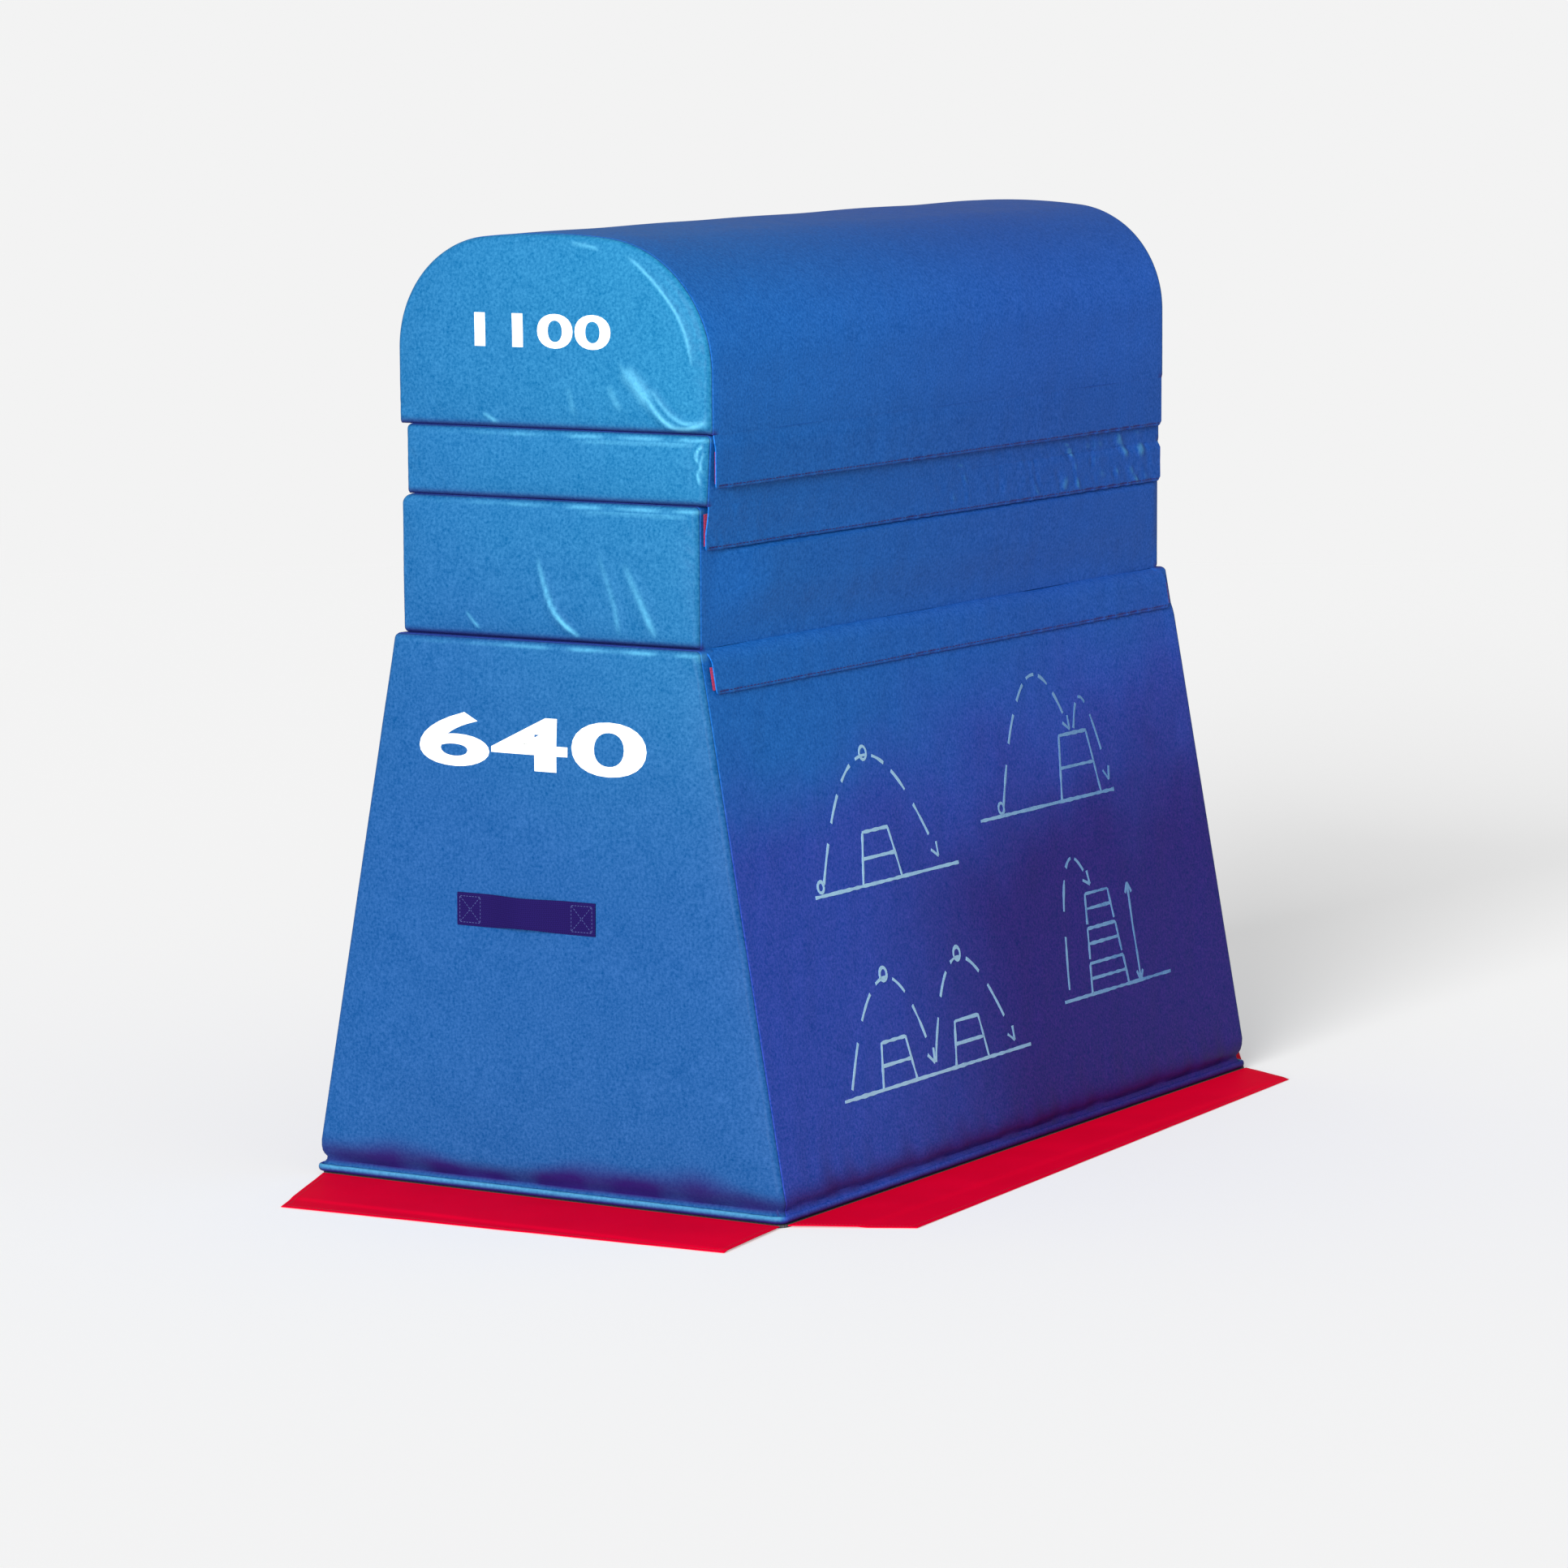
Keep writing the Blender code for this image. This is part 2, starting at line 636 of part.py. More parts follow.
def make_handle(name, sign, parts):
    """A webbing handle sewn at both ends and bowed off the end face between them."""
    half = HANDLE_LENGTH / 2
    span = half - HANDLE_PAD
    stations = [half, span]
    stations += [span * (1 - 2 * k / BOW_STEPS) for k in range(1, BOW_STEPS)]
    stations += [-span, -half]
    mesh = bmesh.new()
    rows = []
    for along in stations:
        bow = 0.0
        if abs(along) < span:
            bow = HANDLE_BOW * (1 + math.cos(math.pi * along / span)) / 2
        row = []
        for rise in (-HANDLE_WIDTH / 2, HANDLE_WIDTH / 2):
            z = HANDLE_HEIGHT + rise
            x = sign * (handle_face(z) + CLEARANCE + bow)
            row.append(mesh.verts.new((x, along + HANDLE_OFF_CENTRE, z)))
        rows.append(row)
    for here, there in zip(rows, rows[1:]):
        mesh.faces.new((here[0], here[1], there[1], there[0]))
    mesh.normal_update()
    if sum(face.normal.x for face in mesh.faces) * sign < 0:
        bmesh.ops.reverse_faces(mesh, faces=mesh.faces)
    data = bpy.data.meshes.new(name)
    mesh.to_mesh(data)
    mesh.free()
    handle = add_object(name, data, parts, "webbing_navy")
    shell = handle.modifiers.new("thickness", "SOLIDIFY")
    shell.thickness = HANDLE_THICKNESS
    shell.offset = 1.0
    return handle


def lift_point(name, z, parent, parts):
    """An empty at a block's underside: what hangs from it lifts off along Z."""
    made = bpy.data.objects.new(name, None)
    made.empty_display_size = 0.1
    parts.objects.link(made)
    made.location = (0.0, 0.0, z - (parent.location.z if parent else 0.0))
    made.parent = parent
    return made


def hang(objects, parent):
    """Parent objects to an empty and keep them where they are."""
    bpy.context.view_layer.update()
    for made in objects:
        made.parent = parent
        made.matrix_parent_inverse = parent.matrix_world.inverted()


def main():
    """Build every sub-part of the trainer."""
    clear_scene()
    parts = new_collection("foam_vaulting_trainer")
    cutters = new_collection("cutters")

    make_block("base", BASE, parts, cutters)
    make_zip("base", BASE, parts)
    make_base_trim(parts)
    make_handle("handle_front", -1, parts)
    make_handle("handle_rear", 1, parts)

    for name, edge, corner, cut, turn in (
        ("front", EDGE_X, EDGE_Y, FRONT_FLAP_CUT, math.pi / 2),
        ("rear", EDGE_X, EDGE_Y, REAR_FLAP_CUT, -math.pi / 2),
        ("right", EDGE_Y, EDGE_X, RIGHT_FLAP_CUT, math.pi),
        ("left", EDGE_Y, EDGE_X, LEFT_FLAP_CUT, 0.0),
    ):
        make_floor_flap(name, edge, corner, cut, turn, parts)

    tiers = (
        ("lower_riser", LOWER_RISER, BASE_TOP, bent_flap(LOWER_RISER, BASE, LOWER_FLAP_DROP),
         SLOPE_TAPE_HEIGHT, "base"),
        ("upper_riser", UPPER_RISER, LOWER_RISER_TOP, straight_flap(UPPER_RISER, UPPER_FLAP_DROP),
         TAPE_HEIGHT, "lower_riser"),
        ("cap", CAP, UPPER_RISER_TOP, straight_flap(CAP, CAP_FLAP_DROP), TAPE_HEIGHT, "upper_riser"),
    )
    below = None
    for name, block, joint, (path, drop_line), tape_height, lower_name in tiers:
        lift = lift_point(f"{name}_lift", joint, below, parts)
        riding = list(make_block(name, block, parts, cutters))
        riding += make_zip(name, block, parts)
        for sign, side in ((-1, "right"), (1, "left")):
            sheet, hook, loop = make_flap(name, path, drop_line, tape_height, block, parts,
                                          sign, side, lower_name)
            riding += [sheet, hook]
            if below:
                hang([loop], below)
        hang(riding, lift)
        below = lift


main()
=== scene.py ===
"""Looks of a foam vaulting trainer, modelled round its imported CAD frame.

Metres, +Z up. X runs along the blocks; the front end is at -X and the right-hand side at -Y.
"""

import logging
import math
from dataclasses import dataclass, field
from enum import Enum
from typing import Sequence, Union

import bmesh
import bpy
import numpy as np
from mathutils import Matrix, Vector


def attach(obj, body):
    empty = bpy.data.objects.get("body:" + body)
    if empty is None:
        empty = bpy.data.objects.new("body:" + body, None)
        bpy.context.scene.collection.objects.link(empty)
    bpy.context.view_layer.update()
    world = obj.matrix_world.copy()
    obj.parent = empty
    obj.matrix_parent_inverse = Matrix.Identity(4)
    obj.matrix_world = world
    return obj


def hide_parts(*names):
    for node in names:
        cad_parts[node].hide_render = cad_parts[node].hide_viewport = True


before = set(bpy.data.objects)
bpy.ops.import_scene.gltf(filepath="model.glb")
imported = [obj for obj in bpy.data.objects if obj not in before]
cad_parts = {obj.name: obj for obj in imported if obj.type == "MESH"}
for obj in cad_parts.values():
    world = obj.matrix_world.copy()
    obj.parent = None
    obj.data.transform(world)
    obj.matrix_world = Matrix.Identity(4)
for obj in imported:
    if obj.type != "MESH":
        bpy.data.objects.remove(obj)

log = logging.getLogger("trainer")

Array = np.ndarray
Piece = bpy.types.Object
Material = bpy.types.Material
Colour = tuple[float, float, float]
Point = tuple[float, float]

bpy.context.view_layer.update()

# Heights of the joints between the blocks, and the step that a flap with its tapes makes
BASE_TOP = 0.64
LOWER_RISER_TOP = 0.8
UPPER_RISER_TOP = 0.88
CAP_TOP = 1.1
FLAP_STEP = 0.0054
CAP_HALF = 0.21
BLOCK_HALF = 0.54
PANEL_HALF = BLOCK_HALF + 0.003
PANEL_EDGE_X = 0.5724057
PANEL_EDGE_Y = 0.3168028
LEFT_FLAP_CUT = 0.024
TINY = 0.00015


class Way(Enum):
    """A way out from the trainer's middle, as its word in piece names and its sign."""

    @property
    def label(self) -> str:
        """The word in piece names."""
        return self.value[0]

    @property
    def sign(self) -> int:
        """The sign of Y or X that way."""
        return self.value[1]


class Side(Way):
    """A long side of the trainer, with the sign of its Y."""

    RIGHT = ("right", -1)
    LEFT = ("left", 1)


class End(Way):
    """An end of the trainer, with the sign of its X."""

    FRONT = ("front", -1)
    REAR = ("rear", 1)


# Shader maths

Operand = Union["Wire", float]


class Wire:
    """One output socket; Python's operators on it add Math nodes."""

    def __init__(self, shader: "Shader", socket: bpy.types.NodeSocket) -> None:
        """Keep the socket and the shader that it belongs to."""
        self.shader = shader
        self.socket = socket

    def maths(self, operation: str, *values: Operand) -> "Wire":
        """Add one Math node.

        Args:
            operation: the Math node's operation.
            values: its inputs in order, wires or numbers.

        Returns:
            The node's result.
        """
        return self.shader.add("ShaderNodeMath", {"operation": operation}, dict(enumerate(values)))

    def __add__(self, other: Operand) -> "Wire":
        """This plus other."""
        return self.maths("ADD", self, other)

    __radd__ = __add__

    def __sub__(self, other: Operand) -> "Wire":
        """This less other."""
        return self.maths("SUBTRACT", self, other)

    def __rsub__(self, other: Operand) -> "Wire":
        """Other less this."""
        return self.maths("SUBTRACT", other, self)

    def __mul__(self, other: Operand) -> "Wire":
        """This times other."""
        return self.maths("MULTIPLY", self, other)

    __rmul__ = __mul__

    def clamped(self) -> "Wire":
        """This kept between 0 and 1."""
        return self.shader.add("ShaderNodeClamp", {}, {"Value": self})

    def sine(self) -> "Wire":
        """The sine of this."""
        return self.maths("SINE", self)

    def stepped(self, low: float, high: float) -> "Wire":
        """A smooth step from 0 at low to 1 at high."""
        return self.shader.add("ShaderNodeMapRange", {"interpolation_type": "SMOOTHSTEP"},
                               {"Value": self, "From Min": low, "From Max": high})


class Shader:
    """The nodes of a material with one Principled shader, or of a world."""

    def __init__(self, name: str, world: bpy.types.World | None = None) -> None:
        """Start a material with that name, or take up the world."""
        self.owner = world or bpy.data.materials.new(name)
        self.owner.use_nodes = True
        self.tree = self.owner.node_tree

    def add(self, kind: str, settings: dict, inputs: dict, output: Union[int, str] = 0) -> Wire:
        """Add a node.

        Args:
            kind: the node's type.
            settings: its properties; stops are the positions and colours of a ramp.
            inputs: the values or wires of its sockets, by name or number.
            output: which of its outputs to return.

        Returns:
            That output.
        """
        node = self.tree.nodes.new(kind)
        for key, value in settings.items():
            if key == "stops":
                ramp = node.color_ramp.elements
                while len(ramp) < len(value):
                    ramp.new(1.0)
                for stop, (position, colour) in zip(ramp, value):
                    stop.position = position
                    stop.color = (*colour, 1.0)
            else:
                setattr(node, key, value)
        for key, value in inputs.items():
            self.put(node.inputs[key], value)
        return Wire(self, node.outputs[output])

    def put(self, socket: bpy.types.NodeSocket, value: Union[Wire, float, Sequence]) -> None:
        """Give a socket a wire or a plain value.

        Args:
            socket: the socket to fill.
            value: a wire, a number, or the first numbers of a colour or vector.
        """
        if isinstance(value, Wire):
            self.tree.links.new(value.socket, socket)
        elif socket.type == "RGBA":
            socket.default_value = (*value[:3], 1.0)
        else:
            socket.default_value = value

    def position(self) -> Wire:
        """Object coordinates."""
        return self.add("ShaderNodeTexCoord", {}, {}, "Object")

    def axis(self, letter: str) -> Wire:
        """One of the Object coordinates."""
        return self.add("ShaderNodeSeparateXYZ", {}, {0: self.position()}, "XYZ".index(letter))

    def attribute(self, name: str) -> Wire:
        """A piece's own attribute, as a number."""
        return self.add("ShaderNodeAttribute", {"attribute_name": name}, {}, "Fac")

    def noise(self, scale: float, detail: float = 2.0, stretch: Sequence = (1, 1, 1)) -> Wire:
        """Noise on Object coordinates.

        Args:
            scale: its frequency, in cycles to the metre.
            detail: its octaves.
            stretch: factors on the three axes before the scale.

        Returns:
            The noise's value, around 0.5.
        """
        placed = self.add("ShaderNodeMapping", {}, {"Vector": self.position(), "Scale": stretch})
        return self.add("ShaderNodeTexNoise", {}, {"Vector": placed, "Scale": scale,
                                                   "Detail": detail, "Roughness": 0.55})

    def cells(self, scale: float) -> Wire:
        """Distance to the nearest point of a Voronoi pattern on Object coordinates."""
        return self.add("ShaderNodeTexVoronoi", {}, {"Vector": self.position(), "Scale": scale})

    def mix(self, share: Operand, first: Union[Wire, Colour], second: Union[Wire, Colour],
            blend: str = "MIX") -> Wire:
        """Mix two colours by a share."""
        return self.add("ShaderNodeMix", {"data_type": "RGBA", "blend_type": blend},
                        {0: share, 6: first, 7: second}, 2)

    def bump(self, height: Wire, depth: float) -> Wire:
        """A Bump node of that depth in metres."""
        return self.add("ShaderNodeBump", {}, {"Strength": 1.0, "Distance": depth, "Height": height})

    def finish(self, **sockets: Union[Wire, float, Sequence]) -> Material:
        """Fill the Principled shader's sockets.

        Args:
            sockets: what each takes, with _ for the spaces in its name.

        Returns:
            The finished material.
        """
        for key, value in sockets.items():
            self.put(self.tree.nodes["Principled BSDF"].inputs[key.replace("_", " ")], value)
        return self.owner


# Finishes


@dataclass(frozen=True)
class Vinyl:
    """Satin coated vinyl of one blue: painted azure on the end panels as lit faces, and a deeper blue along
    the sides as shaded faces.
    """

    name: str = "vinyl"
    # end, end_low, end_bright and end_bright_low: painted light on the end panels, lighter up high and
    # towards -Y; side colours: painted shade, darker to the rear and low down; sheen: a painted highlight;
    # seam and seam_end: painted shade.
    end: Colour = (0.0165, 0.145, 0.335)
    end_low: Colour = (0.013, 0.081, 0.258)
    end_bright: Colour = (0.017, 0.196, 0.388)
    end_bright_low: Colour = (0.016, 0.106, 0.284)
    side: Colour = (0.0165, 0.182, 0.64)
    side_far: Colour = (0.0215, 0.126, 0.565)
    side_low: Colour = (0.032, 0.079, 0.475)
    side_dark: Colour = (0.029, 0.021, 0.222)
    sheen: Colour = (0.12, 0.47, 0.7)
    seam: Colour = (0.03, 0.008, 0.16)
    seam_end: Colour = (0.02, 0.004, 0.105)
    roughness: float = 0.46
    grain: float = 0.00012

    def build(self) -> Material:
        """Make the material, which reads the attributes panel (lit end or shaded side), crease (painted
        highlight) and seam (painted shade).

        Returns:
            The material.
        """
        s = Shader(self.name)
        along, across, height = (s.axis(letter) for letter in "XYZ")
        panel, crease, seam = (s.attribute(word) for word in ("panel", "crease", "seam"))
        cloud = s.noise(5.0, 3.0)
        # Painted light on the end panels: high lightens them upwards, and lit lightens them towards -Y and
        # upwards.
        high = (height + (cloud - 0.5) * 0.12).stepped(0.35, 1.15)
        lit = (across * -1.0 + 0.1 + (cloud - 0.5) * 0.12).stepped(-0.12, 0.34)
        lit = lit * (height + (cloud - 0.5) * 0.1).stepped(0.28, 0.62)
        end = s.mix(lit, s.mix(high, self.end_low, self.end),
                    s.mix(high, self.end_bright_low, self.end_bright))
        # Painted shade on the sides: darker towards the rear, towards the foot (sink), and darkest low at the
        # rear (deep).
        side = s.mix(along.stepped(-0.55, 0.3), self.side, self.side_far)
        painted_low_shade = (height + (cloud - 0.5) * 0.16 - along * 0.1).stepped(0.6, 0.42)
        painted_deep_shade = (height + (cloud - 0.5) * 0.2 - along * 0.06).stepped(0.51, 0.28)
        painted_deep_shade = painted_deep_shade * (along + (cloud - 0.5) * 0.1).stepped(-0.38, 0.06)
        side = s.mix(painted_deep_shade, s.mix(painted_low_shade, side, self.side_low), self.side_dark)
        # Painted shade on the sides: level darkens the cap's crest and the sides below about 0.93 m, above
        # the low shade.
        level = (1.0 - painted_low_shade) * (height.stepped(0.99, 1.09) * 0.24 + height.stepped(0.93, 0.86) * 0.13)
        # The end panels and the sides are painted as the lit and the shaded faces of one blue.
        colour = s.mix(panel, side, end)
        mottle = s.noise(38.0, 4.0)
        speck = s.noise(300.0, 3.0)
        weave = s.noise(900.0, 1.0, (0.25, 0.25, 1.0)) + s.noise(900.0, 1.0, (1.0, 1.0, 0.22))
        tone = (mottle * 0.45 + speck * 2.1 + weave * 0.45 - 1.725) * 0.5 + 1.0
        level = 1.0 - level * (1.0 - panel)
        parts = {k: ((tone - 1.0) * swing + 1.0) * level for k, swing in enumerate((3.4, 1.2, 0.78))}
        colour = s.mix(1.0, colour, s.add("ShaderNodeCombineColor", {}, parts), "MULTIPLY")
        # Painted highlight from the crease attribute, on fold crests, joint edges, wrinkles and piping.
        colour = s.mix((crease * (0.55 + speck * 0.9)).clamped(), colour, self.sheen)
        # Painted shade from the seam attribute, in seams, joints, stitch lines, hems, and above and under the
        # piping.
        colour = s.mix((seam * 0.92).clamped(), colour, s.mix(panel, self.seam, self.seam_end))
        grain = s.cells(760.0) * 0.5 + speck * 0.9 + weave * 0.4
        rough = self.roughness + (mottle - 0.5) * 0.16 + (speck - 0.5) * 0.12 - crease * 0.16
        return s.finish(Base_Color=colour, Roughness=rough.clamped(),
                        Normal=s.bump(grain, self.grain), Specular_IOR_Level=0.08)


@dataclass(frozen=True)
class Webbing:
    """Woven strap: ribs across it and a chevron in the weave."""

    name: str
    colour: Colour
    light: Colour
    pitch: float = 0.0022

    def build(self) -> Material:
        """Make the material, on Object coordinates.

        Returns:
            The material.
        """
        s = Shader(self.name)
        across, up = s.axis("Y"), s.axis("Z")
        turn = 2 * math.pi / self.pitch
        rib = (up * turn).sine() * 0.5 + 0.5
        pick = (across * (turn * 0.8) + (up * (turn * 0.5)).sine() * 1.4).sine() * 0.5 + 0.5
        weave = rib * 0.5 + pick * 0.5
        fuzz = s.noise(900.0, 2.0)
        colour = s.mix((weave * 0.7 + fuzz * 0.35).clamped(), self.colour, self.light)
        return s.finish(Base_Color=colour, Roughness=0.72 + fuzz * 0.2, Specular_IOR_Level=0.06,
                        Normal=s.bump(weave + fuzz * 0.3, 0.00035))


@dataclass(frozen=True)
class CoatedFabric:
    """Bright coated fabric of the floor flaps, with its base cloth showing through as a fine check."""

    name: str
    colour: Colour
    dark: Colour

    def build(self) -> Material:
        """Make the material, on Object coordinates.

        Returns:
            The material.
        """
        s = Shader(self.name)
        turn = 2 * math.pi / 0.0019
        warp = (s.axis("X") * turn).sine()
        weft = (s.axis("Y") * turn).sine()
        cloth = warp * weft * 0.5 + 0.5
        wear = s.noise(9.0, 4.0)
        fleck = s.noise(420.0, 3.0)
        share = (wear * 0.55 + fleck * 0.45 + cloth * 0.1).stepped(0.38, 0.72)
        colour = s.mix(share, self.dark, self.colour)
        return s.finish(Base_Color=colour, Roughness=0.6 + (fleck - 0.5) * 0.2,
                        Normal=s.bump(cloth * 0.6 + fleck * 0.5, 0.00006),
                        Specular_IOR_Level=0.01)


@dataclass(frozen=True)
class Pile:
    """Hook or loop tape: a dense fuzz of tiny filaments."""

    name: str
    colour: Colour
    tip: Colour
    scale: float

    def build(self) -> Material:
        """Make the material, on Object coordinates.

        Returns:
            The material.
        """
        s = Shader(self.name)
        tuft = s.cells(self.scale)
        fuzz = s.noise(self.scale * 1.7, 3.0)
        share = (tuft * 0.7 + fuzz * 0.6).stepped(0.25, 0.95)
        return s.finish(Base_Color=s.mix(share, self.tip, self.colour), Roughness=0.88,
                        Normal=s.bump(1.0 - tuft + fuzz * 0.5, 0.0006), Sheen_Weight=0.35,
                        Specular_IOR_Level=0.15)


@dataclass(frozen=True)
class Foam:
    """Open-celled foam, cream, with a pore pattern."""

    name: str = "foam"
    colour: Colour = (0.72, 0.63, 0.4)
    pore: Colour = (0.46, 0.37, 0.2)

    def build(self) -> Material:
        """Make the material, on Object coordinates.

        Returns:
            The material.
        """
        s = Shader(self.name)
        pores = s.cells(420.0)
        patch = s.noise(14.0, 3.0)
        share = (pores * 1.1 + patch * 0.25).stepped(0.15, 0.8)
        return s.finish(Base_Color=s.mix(share, self.pore, self.colour), Roughness=0.95,
                        Normal=s.bump(pores, 0.001), Specular_IOR_Level=0.1)


@dataclass(frozen=True)
class ZipCloth:
    """Zip tape in black polyester, with the coil's teeth as a fine bump along it."""

    name: str = "zip_cloth"
    colour: Colour = (0.012, 0.012, 0.015)
    light: Colour = (0.05, 0.05, 0.058)

    def build(self) -> Material:
        """Make the material, on Object coordinates; the teeth lie within the chain's width.

        Returns:
            The material.
        """
        s = Shader(self.name)
        along, across = s.axis("X"), s.axis("Y")
        chain = 1.0 - across.maths("ABSOLUTE", across).stepped(0.0022, 0.0028)
        teeth = (along * (2 * math.pi / 0.0016)).sine() * 0.5 + 0.5
        twill = ((along + across) * (2 * math.pi / 0.0011)).sine() * 0.5 + 0.5
        height = chain * teeth * 2.0 + (1.0 - chain) * twill * 0.4
        return s.finish(Base_Color=s.mix((height * 0.5).clamped(), self.colour, self.light),
                        Roughness=0.7, Normal=s.bump(height, 0.0004))


@dataclass(frozen=True)
class Steel:
    """Brushed steel of the zip sliders, with handling wear."""

    name: str = "slider_steel"

    def build(self) -> Material:
        """Make the material, on Object coordinates.

        Returns:
            The material.
        """
        s = Shader(self.name)
        brush = s.noise(900.0, 2.0, (0.05, 1.0, 1.0))
        wear = s.noise(160.0, 3.0)
        colour = s.mix(wear.stepped(0.4, 0.7), (0.3, 0.3, 0.31), (0.52, 0.52, 0.53))
        return s.finish(Base_Color=colour, Metallic=1.0, Roughness=0.22 + brush * 0.22,
                        Normal=s.bump(brush, 0.00003))


@dataclass(frozen=True)
class GripRubber:
    """Rubberised grip sheet under the base, studded with small dimples."""

    name: str = "grip_rubber"

    def build(self) -> Material:
        """Make the material, on Object coordinates.

        Returns:
            The material.
        """
        s = Shader(self.name)
        turn = 2 * math.pi / 0.006
        studs = ((s.axis("X") * turn).sine() * (s.axis("Y") * turn).sine()).stepped(0.2, 0.8)
        dust = s.noise(30.0, 4.0)
        colour = s.mix((dust * 0.5 + studs * 0.25).clamped(), (0.03, 0.031, 0.034),
                       (0.13, 0.13, 0.135))
        return s.finish(Base_Color=colour, Roughness=0.8, Normal=s.bump(studs, 0.0004))


@dataclass(frozen=True)
class Ink:
    """Screen-printed ink, a little worn so that the vinyl's grain shows in it."""

    name: str
    colour: Colour
    worn: Colour
    wear: float = 0.35

    def build(self) -> Material:
        """Make the material, on Object coordinates.

        Returns:
            The material.
        """
        s = Shader(self.name)
        fleck = s.noise(700.0, 3.0)
        patch = s.noise(24.0, 3.0)
        share = (fleck * 0.6 + patch * 0.4).stepped(0.62 - self.wear * 0.3, 0.8) * self.wear
        # Towards the rear (+X) the print turns to its darker second colour.
        share = (share + s.axis("X").stepped(-0.35, 0.4) * 0.75).clamped()
        return s.finish(Base_Color=s.mix(share, self.colour, self.worn), Roughness=0.5,
                        Normal=s.bump(fleck, 0.00006), Specular_IOR_Level=0.3)


@dataclass(frozen=True)
class Thread:
    """Twisted sewing thread."""

    name: str
    colour: Colour
    light: Colour

    def build(self) -> Material:
        """Make the material, on Object coordinates.

        Returns:
            The material.
        """
        s = Shader(self.name)
        ply = ((s.axis("X") + s.axis("Y") + s.axis("Z")) * (2 * math.pi / 0.0009)).sine() * 0.5 + 0.5
        fluff = s.noise(1500.0, 2.0)
        return s.finish(Base_Color=s.mix((ply * 0.6 + fluff * 0.3).clamped(), self.colour, self.light),
                        Roughness=0.62, Normal=s.bump(ply, 0.0002))


class Finishes:
    """Every material and every kind of stitching of the trainer, built once."""

    def __init__(self) -> None:
        """Build them."""
        self.hem = Stitching()
        self.fine = Stitching(length=0.003, gap=0.0009, thick=0.0007)
        self.vinyl = Vinyl().build()
        self.webbing = Webbing("webbing", (0.007, 0.003, 0.05), (0.016, 0.008, 0.1)).build()
        self.floor_flap = CoatedFabric("floor_flap_fabric", (1.0, 0.0, 0.034),
                                       (0.93, 0.0, 0.03)).build()
        self.hook = Pile("hook_pile", (0.55, 0.01, 0.085), (0.2, 0.003, 0.06), 620.0).build()
        self.loop = Pile("loop_pile", (0.5, 0.012, 0.09), (0.16, 0.003, 0.055), 380.0).build()
        self.foam = Foam().build()
        self.zip_cloth = ZipCloth().build()
        self.steel = Steel().build()
        self.grip = GripRubber().build()
        self.white_ink = Ink("white_ink", (0.9, 0.92, 0.9), (0.5, 0.66, 0.8), 0.2).build()
        self.pale_ink = Ink("pale_ink", (0.42, 0.72, 0.95), (0.055, 0.2, 0.52), 0.55).build()
        self.thread = Thread("hem_thread", (0.026, 0.006, 0.12), (0.05, 0.02, 0.22)).build()
        self.pale_thread = Thread("pale_thread", (0.045, 0.065, 0.24), (0.1, 0.14, 0.36)).build()
        self.red_thread = Thread("red_thread", (0.3, 0.004, 0.02), (0.6, 0.02, 0.05)).build()


# Mesh helpers


def deselect() -> None:
    """Leave nothing selected."""
    if bpy.context.object and bpy.context.object.mode != "OBJECT":
        bpy.ops.object.mode_set(mode="OBJECT")
    bpy.ops.object.select_all(action="DESELECT")


def take(piece: Piece) -> None:
    """Make a piece the only selected one, and active."""
    deselect()
    piece.select_set(True)
    bpy.context.view_layer.objects.active = piece


def settle(piece: Piece) -> None:
    """Apply a piece's place, turn and size to its mesh."""
    take(piece)
    bpy.ops.object.transform_apply(location=True, rotation=True, scale=True)


def shade(piece: Piece, degrees: float = 38.0) -> None:
    """Shade a piece smooth, with sharp edges past an angle."""
    take(piece)
    bpy.ops.object.shade_smooth_by_angle(angle=math.radians(degrees))


def edit(piece: Piece) -> None:
    """Open a piece in edit mode, all of it selected."""
    take(piece)
    bpy.ops.object.mode_set(mode="EDIT")
    bpy.ops.mesh.select_all(action="SELECT")


def outwards(piece: Piece) -> None:
    """Turn a piece's faces outwards."""
    edit(piece)
    bpy.ops.mesh.normals_make_consistent(inside=False)
    bpy.ops.object.mode_set(mode="OBJECT")


def slice_up(axis: int, spots: Array) -> None:
    """Cut the mesh in edit mode square to an axis at each spot."""
    normal = [float(k == axis) for k in range(3)]
    for spot in spots:
        bpy.ops.mesh.select_all(action="SELECT")
        bpy.ops.mesh.bisect(plane_co=[spot * share for share in normal], plane_no=normal)


def give_film(piece: Piece, thickness: float) -> None:
    """Give a print its film, half of it to each side."""
    shell = piece.modifiers.new("film", "SOLIDIFY")
    shell.thickness, shell.offset = thickness, 0.0
    take(piece)
    bpy.ops.object.modifier_apply(modifier="film")
    outwards(piece)


def fit(piece: Piece, body: str, node: str) -> None:
    """Put a piece on its body in a CAD node's place, and hide that node."""
    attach(piece, body)
    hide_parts(node)


def vertices_of(piece: Piece) -> Array:
    """A piece's vertices, one row each."""
    return np.array([v.co for v in piece.data.vertices])


def move_vertices(piece: Piece, points: Array) -> None:
    """Put a piece's vertices at these points."""
    piece.data.vertices.foreach_set("co", points.ravel())
    piece.data.update()


